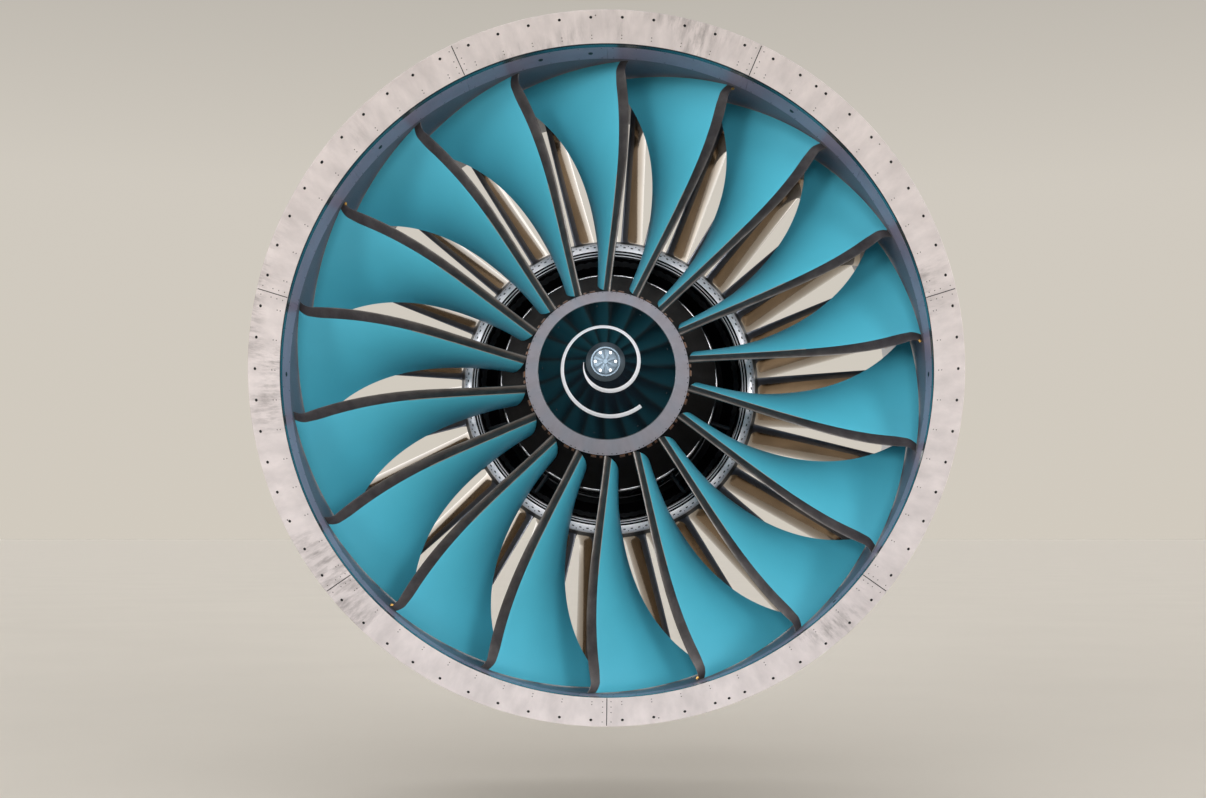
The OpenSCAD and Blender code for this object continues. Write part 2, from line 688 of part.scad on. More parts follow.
module high_turbine_rotor() {
    r = high_shaft_r - 25;
    y = hpt_y;
    color("#8f8a84") union() {
        spin([[r, y + seat], [r + 60, y + seat], [r + 70, y + 18], [tur_hub(y) - 30, y + 18],
            [tur_hub(y) - 30, y + 6], [tur_hub(y), y + 6], [tur_hub(y), y + 60],
            [tur_hub(y) - 30, y + 60], [tur_hub(y) - 30, y + 42], [r + 70, y + 42],
            [r + 60, y + 66], [r, y + 66]]);
        rotor_row(HPT_BLADES, tur_hub(y) - 5, tur_case(y) - core_gap, 10, y + 8, 48);
    }
}

module front_ring_segments() {
    step = 360 / lip_parts;
    seam = lip_seam / lip_r * 180 / PI / 2;
    foot = 66;
    foot_t = 8;
    r1 = lip_r + lip_rise;
    back = lip_t * norm([lip_rise, lip_depth]) / lip_rise;
    slope = lip_rise / lip_depth;
    color("#d6cfcf") for (k = [0 : lip_parts - 1]) let (a = lip_clock + k * step)
        sector(a + seam, a + step - seam, [
            [lip_r, -seat], [r1, -lip_depth - seat], [r1 + 3, -lip_depth - seat + 3],
            [r1 + 3, -lip_depth + 30], [r1 - 3, -lip_depth + 30], [r1 - 3, -lip_depth + back + 3],
            [lip_r + slope * foot_t + back, -foot_t], [lip_r + foot, -foot_t], [lip_r + foot, -seat]]);
}

module front_ring_bolts() {
    step = 360 / lip_parts / lip_bolts_each;
    f = 0.765;
    tilt = atan2(lip_rise, -lip_depth);
    color("#1b1c1e") for (k = [0 : lip_parts * lip_bolts_each - 1])
        rotate([0, lip_clock + (k + 0.5) * step, 0])
            translate([0, -lip_depth * f - seat, lip_r + lip_rise * f]) rotate([tilt, 0, 0])
                translate([0, 0, seat]) cylinder(h = 3.5, r = lip_bolt_r, $fn = 24);
}

// Outer ribs of the case: station and height of each
CASE_RIBS = [for (rib = [[0.162, 0.28], [0.476, 0.6], [0.638, 0.28], [0.843, 0.6]])
    [rib[0] * case_len, rib[1] * flange_h]];

module fan_case() {
    rib_t = 16;
    color("#7c7f83") difference() {
        union() {
            ring(case_in, case_out, 0, case_len);
            ring(case_out - 1, flange_r, 0, flange_t);
            ring(case_out - 1, flange_r, case_len - flange_t, case_len);
            ring(case_out - 1, case_out + 12, track_y - 5, track_end - 2);
            for (rib = CASE_RIBS) ring(case_out - 1, case_out + rib[1], rib[0], rib[0] + rib_t);
        }
        around(flange_bolts) bar(bolt_circle_r, -1, flange_t + 1, flange_hole_r);
        around(flange_bolts) bar(bolt_circle_r, case_len - flange_t - 1, case_len + 1, flange_hole_r);
    }
}

module fan_case_liners() {
    y0 = 2;
    y1 = y0 + band_w;
    outer = case_in - seat;
    gap = panel_gap / track_r * 180 / PI / 2;
    step = 360 / panels;
    function panel_r(y) = mix(lip_r, track_r, ease((y - y1) / (track_y - y1)));
    color("#b9bcc0") ring(lip_r, outer, y0, y1);
    color("#6f7c8a") for (k = [0 : panels - 1]) sector(k * step + gap, (k + 1) * step - gap, [
        [panel_r(y1 + 1), y1 + 1], [outer, y1 + 1], [outer, track_y - 1], [track_r, track_y - 1],
        [panel_r(mix(y1, track_y, 0.66)), mix(y1, track_y, 0.66)],
        [panel_r(mix(y1, track_y, 0.33)), mix(y1, track_y, 0.33)]]);
    color("#5d6770") ring(track_r, outer, track_y, track_end);
    color("#7d858d") ring(track_r, outer, track_end + 2, case_len - 4);
}

// Guide vane sections: h is the share of the height, u the share of the chord
VANE_U = [0.1, 0.4, 0.75, 1];
VANE_N = 2 * len(VANE_U) + 1;
VANE_H = [0, 0.5, 1];
vane_seat = 0.6;
function vane_point(h, u, side) = let (
    r = mix(duct_r + vane_seat, track_r - seat, h),
    y0 = vane_y + vane_sweep * h,
    lead = vane_len * tan(mix(vane_angle, vane_angle - 8, h)) / 2,
    x = lead * (1 - (1 - u) * (1 - u)),
    run_xy = [lead, vane_len] / norm([lead, vane_len]),
    off = side * half_t(mix(vane_t, vane_t * 0.8, h), u),
    turn = vane_clock + (x - off * run_xy[1]) / r * 180 / PI,
    y = y0 + u * vane_len + off * run_xy[0])
    [r * sin(turn), y, r * cos(turn)];
function vane_section(h) = concat(
    [for (u = VANE_U) vane_point(h, u, -1)],
    [for (i = [len(VANE_U) - 1 : -1 : 0]) vane_point(h, VANE_U[i], 1)],
    [vane_point(h, 0, 0)]);

module guide_vane() {
    k = len(VANE_U) - 1;
    m = len(VANE_H);
    function cap(o) = concat(ladder_cap(k, o), [[o + 2 * k + 1, o + 2 * k + 2, o]]);
    polyhedron([for (h = VANE_H) each vane_section(h)],
        concat(loft_sides(VANE_N, m, [for (i = [k + 1 : 2 * k + 1]) i]), cap(0),
            flip(cap((m - 1) * VANE_N))));
}

module outlet_guide_vanes() {
    color("#b7ada0") around(vanes) guide_vane();
}

// Stations of the splitter between the core and the bypass duct
split_y = 1100;
split_back = 1140;
split_in = 802;
split_out = 883;
frame_t = 12;
frame_end = 1760;

// The lip's outline as shares of its width and its depth
LIP_SHARES = [[0, 1], [0.04, 0.62], [0.1, 0.36], [0.19, 0.15], [0.3, 0.04], [0.4, 0],
    [0.51, 0.04], [0.63, 0.17], [0.79, 0.43], [1, 1]];
module splitter_lip() {
    color("#d4d4d2") spin([for (p = LIP_SHARES)
        [mix(split_in, split_out, p[0]), mix(split_y, split_back, p[1])]]);
}

// A strut across a duct, with a rounded nose and a sharp tail
module strut(r0, r1, y0, len, w) {
    translate([0, 0, r0]) linear_extrude(r1 - r0) polygon([
        [0, y0], [w * 0.35, y0 + len * 0.06], [w * 0.5, y0 + len * 0.3], [w * 0.35, y0 + len * 0.65],
        [w * 0.06, y0 + len], [-w * 0.06, y0 + len], [-w * 0.35, y0 + len * 0.65],
        [-w * 0.5, y0 + len * 0.3], [-w * 0.35, y0 + len * 0.06]]);
}

bearing_r = fan_shaft_r + 77;
bearing_w = 56;
fan_bearing_y = rim_end + 80;
roller_bearing_y = fan_bearing_y + 150;
ip_bearing_y = ipc_y - 50;
ip_bearing_r = ip_shaft_r + 50;
high_bearing_r = high_shaft_r + 55;
high_front_y = hpc_y - 95;
high_rear_y = burner_y + 260;
exit_bearing_y = exhaust_y + 50;

// Walls of the core inlet: the top of the hump in the inner one, and the struts' station
hump_r = hub_r1 + 22;
inlet_strut_y = mix(split_back, ipc_y, 0.177);

module fan_frame() {
    function inner_at(a) = mix(hump_r - 10, ipc_hub0, a);
    function core_at(a) = [mix(split_in, ipc_case0, a), mix(split_back, ipc_y, a * 0.9)];
    gear_end = gear_y + gear_w;
    inner = [[hub_r1 + 4, hub_y1 + 11], [hump_r - 2, mix(hub_y1, gear_y, 0.5)], [hump_r, gear_y - 5],
        [hump_r - 10, gear_end + 5], [inner_at(0.33), mix(gear_end, ipc_y, 0.47)], [ipc_hub0, ipc_y]];
    core = [[split_in, split_back + 14], core_at(0.22), core_at(0.67), [ipc_case0, ipc_y]];
    t = frame_t;
    housing_r = gear_case_r + seat;
    back_y = gear_y + gear_w + 105;
    skirt_r = ipc_case0 + core_t + 12;
    color("#6d7074") union() {
        spin(concat(inner, [for (i = [len(inner) - 1 : -1 : 0]) inner[i] - [t, 0]]));
        spin(concat(core, [for (i = [len(core) - 1 : -1 : 0]) core[i] + [t, 0]]));
        spin([[split_in, split_back], [split_out, split_back], [duct_r, split_back + 55],
            [duct_r, frame_end], [duct_r - t, frame_end], [duct_r - t, split_back + 57],
            [split_out - 6, split_back + 14], [split_in, split_back + 14]]);
        ring(ipc_case0, skirt_r + 1, ipc_y - t, ipc_y);
        ring(skirt_r, skirt_r + t, ipc_y - t, frame_end);
        ring(skirt_r, duct_r - 1, frame_end - t, frame_end);
        around(10) strut(inner_at(0.54), core_at(0.12)[0], inlet_strut_y, split_y * 0.1, 2.2 * t);
        ring(bearing_r + seat, hub_r1 + 5, hub_y1 + 23, hub_y1 + 23 + t);
        ring(bearing_r + seat, bearing_r + 18, fan_bearing_y - 10, roller_bearing_y + bearing_w + 12);
        wall(bearing_r + 2, roller_bearing_y + bearing_w, housing_r, gear_y - 2, 18);
        ring(housing_r, housing_r + 18, gear_y - 3, back_y);
        ring(ip_bearing_r + seat, inner_at(0.19) - t / 2, back_y - t, back_y);
        ring(ip_bearing_r + seat, ip_bearing_r + 16, back_y - t, ip_bearing_y + bearing_w + 4);
    }
}

module shaft_bearings() {
    module bearing(shaft_r, seat_r, y, w) {
        groove = (seat_r - shaft_r) * 0.2;
        mid = (seat_r + shaft_r) / 2;
        spin([[shaft_r + run, y], [mid - 4, y], [mid, y + groove], [mid + 4, y], [seat_r, y],
            [seat_r, y + w], [mid + 4, y + w], [mid, y + w - groove], [mid - 4, y + w],
            [shaft_r + run, y + w]]);
    }
    color("#c4b38a") {
        bearing(fan_shaft_r, bearing_r, fan_bearing_y, bearing_w);
        bearing(fan_shaft_r, bearing_r, roller_bearing_y, bearing_w);
        bearing(ip_shaft_r, ip_bearing_r, ip_bearing_y, bearing_w);
        bearing(high_shaft_r, high_bearing_r, high_front_y, bearing_w);
        bearing(high_shaft_r, high_bearing_r, high_rear_y, bearing_w);
        bearing(ip_shaft_r, ip_bearing_r, exit_bearing_y, bearing_w);
    }
}

module case_flanges(r0, y0, r1, y1) {
    h = 26;
    t = 13;
    ring(r0 - 1, r0 + h, y0, y0 + t);
    ring(r1 - 1, r1 + h, y1 - t, y1);
    around(32) bar(r0 + h - 11, y0 + t - 1, y0 + t + 9, 6);
    around(32) bar(r1 + h - 11, y1 - t - 9, y1 - t + 1, 6);
}

module ip_compressor_case() {
    y0 = ipc_y + seat;
    y1 = mid_y - seat;
    t = core_t;
    color("#85888c") union() {
        wall(ipc_case(y0), y0, ipc_case(y1), y1, t);
        case_flanges(ipc_case(y1) + t, y1 - 60, ipc_case(y1) + t, y1);
        for (k = [0 : IPC_ROWS - 2]) let (y = ipc_row_y(k) + 44 + 10)
            stator_row(IPC_VANES, ipc_hub(y) + core_gap + 4, ipc_case(y + 30) + 1,
                ipc_case(y + 30) + 3, 6, y, 34);
    }
}

// The intermediate case and the mount pad on top of it
mid_out_r = ipc_case1 + 76;
pad_w = 300;
pad_len = 150;
pad_top = mid_out_r + 84;
pad_y = mid_y + 125;
pad_dx = 200;
pad_dy = 90;
pad_hole_r = 14;

module intermediate_case() {
    y0 = mid_y;
    y1 = hpc_y - seat;
    t = core_t;
    color("#777b80") difference() {
        union() {
            ring(mid_out_r - 16, mid_out_r, y0, y1);
            ring(ipc_case1, mid_out_r - 1, y0, y0 + t);
            ring(hpc_case0, mid_out_r - 1, y1 - t, y1);
            wall(ipc_case1, y0, hpc_case0, y1, t);
            wall(ipc_hub1 - 12, y0 + 8, hpc_hub0 - 14, y1, t);
            around(8, 22.5) strut(hpc_hub0 + 20, mid_out_r - 8, y0 + 80, 90, 28);
            ring(high_bearing_r + seat, hpc_hub0 + 62, high_front_y + 20, high_front_y + 20 + t);
            ring(high_bearing_r + seat, high_bearing_r + 16, high_front_y - 4, high_front_y + bearing_w + 4);
            translate([-pad_w / 2, pad_y - pad_len / 2, mid_out_r - 38])
                cube([pad_w, pad_len, pad_top - mid_out_r + 38]);
            for (a = [-40, 40]) rotate([0, a, 0]) translate([-40, y1 - 50, mid_out_r - 14])
                cube([80, 50, 110]);
        }
        for (x = [-1, 1]) for (y = [-1, 1])
            translate([x * pad_dx / 2, pad_y + y * pad_dy / 2, pad_top - 60])
                cylinder(h = 61, r = pad_hole_r, $fn = 32);
    }
}

module high_compressor_case() {
    y0 = hpc_y + seat;
    y1 = burner_y - seat;
    t = core_t;
    color("#8b8782") union() {
        wall(hpc_case(y0), y0, hpc_case(y1), y1, t);
        case_flanges(hpc_case(y0) + t, y0, hpc_case(y1) + t, y1);
        for (k = [0 : HPC_ROWS - 2]) let (y = hpc_row_y(k) + 36 + 10)
            stator_row(HPC_VANES, hpc_hub(y) + core_gap + 3, hpc_case(y + 30) + 1,
                hpc_case(y + 30) + 3, 5, y, 34);
    }
}

burner_r = hpc_case0 + 48;
burner_in = hpc_hub1 - 12;
dome_r = (burner_r + burner_in) / 2;
nozzle_plane = burner_y + 90;
stem_r = 14;

module combustor_case() {
    y0 = burner_y;
    y1 = turbine_y - seat;
    t = core_t;
    color("#8d8276") difference() {
        union() {
            spin([[hpc_case1, y0], [hpc_case1 + t, y0], [burner_r, y0 + 60], [burner_r, y1],
                [burner_r - t, y1], [burner_r - t, y0 + 64], [hpc_case1, y0 + 14]]);
            spin([[burner_in - t, y0 + 2], [burner_in, y0 + 2], [burner_in, y1 - 60],
                [burner_in - t, y1 - 60]]);
            stator_row(HPC_VANES, burner_in - 4, hpc_case1 + 1, hpc_case1 + 4, 7, y0 + 2, 14);
            ring(burner_r - 1, burner_r + 26, y1 - 14, y1);
            ring(high_bearing_r + seat, burner_in - t + 1, high_rear_y, high_rear_y + bearing_w);
            around(nozzles) translate([0, nozzle_plane, burner_r - 8]) cylinder(h = 16, r = 30, $fn = 32);
        }
        around(nozzles) translate([0, nozzle_plane, burner_r - 40])
            cylinder(h = 80, r = stem_r + seat, $fn = 32);
    }
}

module combustor_liner() {
    y0 = nozzle_plane + 26;
    y1 = turbine_y - 30;
    r0 = burner_in + 50;
    r1 = burner_r - 48;
    t = 4;
    color("#9a7f66") difference() {
        union() {
            spin([[r0, y0], [r1, y0], [r1, y1 - 60], [r1 - 6, y1], [r1 - 6 - t, y1],
                [r1 - t, y1 - 60], [r1 - t, y0 + t], [r0 + t, y0 + t], [r0 + t, y1 - 60],
                [r0 + 26 + t, y1], [r0 + 26, y1], [r0, y1 - 60]]);
            ring(r1 - 1, burner_r - core_t - seat, y0 + 10, y0 + 16);
            ring(burner_in + seat, r0 + 1, y0 + 10, y0 + 16);
        }
        around(nozzles) bar(dome_r, y0 - 1, y0 + t + 1, 20);
    }
}

module fuel_nozzles() {
    ring_r = burner_r + 46;
    pipe_r = 9;
    color("#a8a49a") union() {
        around(nozzles) {
            translate([0, nozzle_plane, dome_r - 14])
                cylinder(h = burner_r + 34 - dome_r + 14, r = stem_r, $fn = 32);
            translate([0, nozzle_plane, burner_r + 8 + seat]) cylinder(h = 10, r = 28, $fn = 32);
            bar(dome_r, nozzle_plane - 10, nozzle_plane + 40, 18);
            translate([0, nozzle_plane, burner_r + 16])
                cylinder(h = ring_r - burner_r - 16, r = 8, $fn = 24);
        }
        rotate([-90, 0, 0]) translate([0, 0, nozzle_plane])
            rotate_extrude($fn = BIG) translate([ring_r, 0]) circle(pipe_r, $fn = 24);
    }
}

module turbine_case() {
    y0 = turbine_y;
    y1 = exhaust_y - seat;
    t = core_t;
    step = tur_first + 8;
    color("#8a7c70") union() {
        spin([[tur_case(y0), y0], [burner_r + 26, y0], [burner_r + 26, y0 + 14],
            [tur_case(y0 + 14) + t, y0 + 14], [tur_case(y1) + t, y1], [tur_case(y1), y1]]);
        ring(tur_case(y1 - 14) + t - 1, tur_case(y1) + t + 28, y1 - 14, y1);
        stator_row(HPT_VANES, tur_hub0 - 26, tur_case(y0) - 1, tur_case(y0) + 3, 14, y0 + 2, 44);
        for (k = [0 : TUR_ROWS - 1]) let (y = tur_row_y(k) - 52)
            stator_row(TUR_VANES, tur_hub(y) + core_gap + (k == 0 ? -22 : 6), tur_case(y) + 1,
                tur_case(y) + 4, 8, y, 40);
    }
}

exit_in = tur_hub1 - 10;
lug_r = tur_case1 + 124;

module exhaust_case() {
    y0 = exhaust_y;
    y1 = nozzle_y - seat;
    r = tur_case1;
    t = core_t;
    color("#7f756c") union() {
        ring(r, r + t, y0, y1);
        ring(r + t - 1, r + t + 28, y0, y0 + 14);
        ring(r + t - 1, r + t + 20, y1 - 12, y1);
        ring(exit_in, exit_in + t, y0 + 4, y1);
        around(12) strut(exit_in + 2, r + 6, y0 + 55, 110, 22);
        ring(ip_bearing_r + seat, exit_in + 1, exit_bearing_y + 20, exit_bearing_y + 20 + t);
        ring(ip_bearing_r + seat, ip_bearing_r + 16, exit_bearing_y - 4, exit_bearing_y + bearing_w + 4);
        for (a = [-40, 40]) rotate([0, a, 0]) translate([-40, y0 + 20, r + 2]) cube([80, 40, lug_r - r]);
        translate([-110, y0 + 70, r + 2]) cube([220, 70, 90]);
    }
}

module exhaust_cone() {
    y0 = nozzle_y;
    t = 5;
    r = exit_in + core_t;
    color("#8c857d") spin([[r - 40, y0], [r, y0], [r - 6, y0 + plug_len * 0.25],
        [r * 0.74, y0 + plug_len * 0.6], [r * 0.22, y0 + plug_len], [r * 0.22 - 20, y0 + plug_len],
        [r * 0.74 - t, y0 + plug_len * 0.6], [r - 6 - t, y0 + plug_len * 0.25], [r - t, y0 + t],
        [r - 40, y0 + t]]);
}

module core_nozzle() {
    y0 = nozzle_y;
    t = 5;
    r = tur_case1;
    color("#96908a") spin([[r, y0], [r + core_t + 20, y0], [r + core_t + 20, y0 + 10], [r + t, y0 + 10],
        [r + t + 4, y0 + nozzle_len * 0.4], [r * 0.86 + t, y0 + nozzle_len],
        [r * 0.86, y0 + nozzle_len], [r + 4, y0 + nozzle_len * 0.4], [r, y0 + 10]]);
}

// Units on the outside of the fan case stand on feet at the case wall
foot_r = case_out + seat;

module accessory_gearbox() {
    y0 = CASE_RIBS[2][0] + 50;
    y1 = y0 + 310;
    r0 = case_out + 40;
    r1 = case_out + 130;
    collar_t = 18;
    // A unit on the gearbox, with a collar where it is bolted on
    module unit(a, from, to, r) {
        back = from > y0;
        face = back ? y1 - 60 : y0 + 60;
        rotate([0, a, 0]) {
            bar((r0 + r1) / 2 + 12, from, to, r);
            bar((r0 + r1) / 2 + 12, back ? face - 1 : face - collar_t, back ? face + collar_t : face + 1,
                r + 8);
        }
    }
    color("#8e9296") union() {
        sector(150, 210, [[r0, y0 + 60], [r1 - 16, y0 + 60], [r1, y0 + 76], [r1, y1 - 76],
            [r1 - 16, y1 - 60], [r0, y1 - 60]]);
        for (a = [156, 180, 204]) sector(a - 1.6, a + 1.6, [[foot_r, y0 + 90], [r0 + 4, y0 + 90],
            [r0 + 4, y1 - 90], [foot_r, y1 - 90]]);
        unit(155, y1 - 62, y1 + 130, 56);
        unit(166, y1 - 62, y1 + 60, 48);
        unit(180, y1 - 62, y1 + 160, 60);
        unit(194, y1 - 62, y1 + 80, 52);
        unit(204, y1 - 62, y1 + 110, 56);
        unit(160, y0 - 60, y0 + 62, 50);
        unit(174, y0 - 130, y0 + 62, 60);
        unit(198, y0 - 80, y0 + 62, 56);
    }
}

module fan_case_units() {
    r0 = case_out + 34;
    y0 = CASE_RIBS[1][0] + 40;
    y1 = CASE_RIBS[2][0] - 20;
    lid_t = 14;
    // A box with a lid a little smaller than itself, on two feet
    module box(a, half, y0, y1, h) {
        sector(a - half, a + half, [[r0, y0], [r0 + h - lid_t, y0], [r0 + h - lid_t, y1], [r0, y1]]);
        sector(a - half + 0.4, a + half - 0.4, [[r0 + h - lid_t - 1, y0 + 12], [r0 + h - 6, y0 + 12],
            [r0 + h, y0 + 18], [r0 + h, y1 - 18], [r0 + h - 6, y1 - 12], [r0 + h - lid_t - 1, y1 - 12]]);
        for (side = [-1, 1]) sector(a + side * (half - 1) - 0.7, a + side * (half - 1) + 0.7,
            [[foot_r, y0 + 40], [r0 + 2, y0 + 40], [r0 + 2, y1 - 40], [foot_r, y1 - 40]]);
    }
    color("#2f4c78") box(268, 7, y0, y1, 90);
    color("#2f4c78") box(286, 6, y0 + 10, y1 - 10, 76);
    color("#b5b8bb") box(76, 8, y0, y1 - 10, 130);
    color("#55585c") box(100, 5, y0 + 10, y1 - 20, 60);
}

strut_y0 = hpc_y;
strut_y1 = exhaust_y + 20 - seat;

module thrust_struts() {
    r = (mid_out_r + lug_r) / 2 + 8;
    color("#6a6d71") for (a = [-40, 40]) rotate([0, a, 0]) union() {
        bar(r, strut_y0, strut_y1, 26);
        bar(r, strut_y0, strut_y0 + 60, 36);
        bar(r, strut_y1 - 60, strut_y1, 36);
    }
}

module engine_pipes() {
    tube = 16;
    module hoop(r, y, from, to) {
        rotate([0, from - 90, 0]) translate([0, y, 0]) rotate([-90, 0, 0])
            rotate_extrude(angle = to - from, $fn = BIG) translate([r, 0]) circle(tube, $fn = 24);
    }
    tur_slope = (tur_case1 - tur_case0) / (exhaust_y - turbine_y);
    hpc_slope = (hpc_case1 - hpc_case0) / (burner_y - hpc_y);
    // Distance of a tube's middle from the wall that it rests on, measured along the radius
    function off(slope) = core_t + (tube + seat) * norm([1, slope]);
    color("#a29a8e") {
        for (y = [tur_first + 90, tur_first + 210, tur_first + 330])
            hoop(tur_case(y) + off(tur_slope), y, 50, 310);
        for (y = [hpc_y + 150, hpc_y + 320])
            hoop(hpc_case(y) + off(hpc_slope), y, 60, 300);
    }
}

for (k = [1 : 9]) fan_blade(k);
for (k = [10 : fan_blades]) fan_blade(k);
blade_leading_edges();
annulus_fillers();
fan_disc();
nose_cone();
nose_cone_fairing();
nose_cap();
spiral_mark();
fan_shaft();
planet_carrier();
for (k = [1 : planets]) planet_gear(k);
sun_gear();
ip_compressor_rotor();
ip_turbine_rotor();
high_compressor_rotor();
high_turbine_rotor();
front_ring_segments();
front_ring_bolts();
fan_case();
fan_case_liners();
outlet_guide_vanes();
fan_frame();
splitter_lip();
ring_gear();
shaft_bearings();
ip_compressor_case();
intermediate_case();
high_compressor_case();
combustor_case();
combustor_liner();
fuel_nozzles();
turbine_case();
exhaust_case();
exhaust_cone();
core_nozzle();
accessory_gearbox();
fan_case_units();
thrust_struts();
engine_pipes();
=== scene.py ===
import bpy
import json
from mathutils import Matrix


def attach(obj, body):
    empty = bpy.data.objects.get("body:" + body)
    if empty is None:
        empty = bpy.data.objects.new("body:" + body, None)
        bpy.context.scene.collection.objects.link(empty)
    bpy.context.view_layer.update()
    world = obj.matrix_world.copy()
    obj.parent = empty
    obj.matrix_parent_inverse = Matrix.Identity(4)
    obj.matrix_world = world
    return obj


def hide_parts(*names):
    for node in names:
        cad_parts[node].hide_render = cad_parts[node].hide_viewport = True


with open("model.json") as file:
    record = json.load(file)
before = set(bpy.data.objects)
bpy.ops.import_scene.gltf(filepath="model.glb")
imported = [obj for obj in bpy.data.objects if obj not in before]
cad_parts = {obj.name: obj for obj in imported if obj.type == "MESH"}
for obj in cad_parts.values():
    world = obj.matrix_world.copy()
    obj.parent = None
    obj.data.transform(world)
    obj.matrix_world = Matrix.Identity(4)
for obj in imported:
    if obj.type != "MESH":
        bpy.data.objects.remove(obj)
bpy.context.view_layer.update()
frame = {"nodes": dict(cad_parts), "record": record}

import json
import math

import bpy
from mathutils import Matrix, Vector

# Lengths are in millimetres as in the solids, and MM turns them into metres. The camera, the
# lamps and the floor's height are in metres.
# The shaft lies along Y, the front faces -Y, Z is up, and angles count clockwise from the top
# as seen from the front.
MM = 0.001
NODES = frame["nodes"]
scene = bpy.context.scene


# Small helpers
def mix(a, b, t):
    return a + (b - a) * t


def ease(t):
    """A share from 0 to 1 with soft ends."""
    t = min(max(t, 0.0), 1.0)
    return t * t * (3 - 2 * t)


def arc3(a, m, b, t):
    """A parabola through three values, at shares 0, 0.5 and 1."""
    return a + (4 * m - 3 * a - b) * t + (2 * a + 2 * b - 4 * m) * t * t


def polar(r, angle, y):
    """The point at a radius, angle and station of the shaft."""
    a = math.radians(angle)
    return (r * math.sin(a), y, r * math.cos(a))


def spread(n, power=1.0):
    """n shares from 0 to 1, closer together at 0 where power is over 1."""
    return [(i / (n - 1)) ** power for i in range(n)]


def srgb(r, g, b):
    """A linear colour from its 8 bit values."""
    def linear(v):
        v /= 255.0
        return v / 12.92 if v <= 0.04045 else ((v + 0.055) / 1.055) ** 2.4
    return (linear(r), linear(g), linear(b), 1.0)


# Camera, light and floor
CAMERA_AT = (0.1427, -9.191, -0.9056)
LENS, SENSOR = 50.75, 36.0
SHIFT = (-0.0251, 0.1153)
FLOOR_Z, FLOOR_HALF = -2.42, 2000.0
CLIP_END = 3000  # the floor reaches the horizon
LAMPS_AIM = Vector((0, 0.4, 0))

cam = bpy.data.objects.new("camera", bpy.data.cameras.new("camera"))
scene.collection.objects.link(cam)
cam.location = CAMERA_AT
cam.rotation_euler = (math.pi / 2, 0, 0)
cam.data.lens, cam.data.sensor_width = LENS, SENSOR
cam.data.shift_x, cam.data.shift_y = SHIFT
cam.data.clip_end = CLIP_END
scene.camera = cam
scene.view_settings.view_transform = "Standard"


def lamp(name, at, power, angle, color=(1, 1, 1)):
    """A soft sun that shines from one point towards the engine, with an angle in degrees."""
    data = bpy.data.lights.new(name, "SUN")
    data.energy, data.color, data.angle = power, color, math.radians(angle)
    piece = bpy.data.objects.new(name, data)
    scene.collection.objects.link(piece)
    piece.location = at
    piece.rotation_euler = (LAMPS_AIM - Vector(at)).to_track_quat("-Z", "Y").to_euler()
    piece.visible_camera = False


lamp("sun_left", (-8.0, -9.0, 0.9), 1.3, 50, (1.0, 0.99, 0.98))
lamp("sun_right", (8.5, -9.0, 1.1), 1.12, 50, (1.0, 0.985, 0.97))
lamp("sun_high", (0.5, -6.0, 8.0), 0.6, 70)
lamp("sun_back_left", (-3.0, 8.0, 5.0), 1.0, 70)
lamp("sun_back_right", (6.0, 7.0, 2.5), 0.7, 60)
lamp("sun_front", (0.3, -10.0, 0.9), 0.75, 10)
lamp("sun_mid_left", (-5.2, -10.0, 0.9), 0.6, 13)
lamp("sun_mid_right", (5.4, -10.0, 0.9), 0.74, 13)

world = bpy.data.worlds.new("studio")
scene.world = world
world.use_nodes = True


def world_light():
    """A pale room with a darker ceiling, and darker in front of the engine."""
    nt = world.node_tree
    back = nt.nodes["Background"]
    where = nt.nodes.new("ShaderNodeTexCoord")
    split = nt.nodes.new("ShaderNodeSeparateXYZ")
    nt.links.new(where.outputs["Generated"], split.inputs[0])
    depth = ramp_of(nt, split.outputs["Y"], [(0.0, srgb(172, 170, 167)), (0.3, srgb(176, 173, 169)),
                                             (0.62, srgb(226, 222, 216)), (1.0, srgb(230, 227, 221))])
    height = ramp_of(nt, split.outputs["Z"], [(0.0, srgb(214, 206, 194)), (0.48, srgb(238, 233, 225)),
                                              (0.6, srgb(236, 232, 226)), (0.78, srgb(150, 149, 148)),
                                              (1.0, srgb(112, 112, 114))])
    both = nt.nodes.new("ShaderNodeMix")
    both.data_type, both.blend_type = "RGBA", "MULTIPLY"
    both.inputs["Factor"].default_value = 1.0
    nt.links.new(depth, both.inputs[6])
    nt.links.new(height, both.inputs[7])
    nt.links.new(both.outputs[2], back.inputs["Color"])
    back.inputs["Strength"].default_value = 0.95


def ramp_of(nt, value, stops):
    """A colour ramp over a direction's share from -1 to 1."""
    up = nt.nodes.new("ShaderNodeMapRange")
    up.inputs["From Min"].default_value, up.inputs["From Max"].default_value = -1, 1
    ramp = nt.nodes.new("ShaderNodeValToRGB")
    nt.links.new(value, up.inputs["Value"])
    nt.links.new(up.outputs[0], ramp.inputs[0])
    fill_ramp(ramp, stops)
    return ramp.outputs[0]


def fill_ramp(ramp, stops):
    """The ramp's stops, as pairs of a place and a colour."""
    band = ramp.color_ramp
    while len(band.elements) < len(stops):
        band.elements.new(0.5)
    for element, (at, color) in zip(band.elements, stops):
        element.position = at
        element.color = color


world_light()


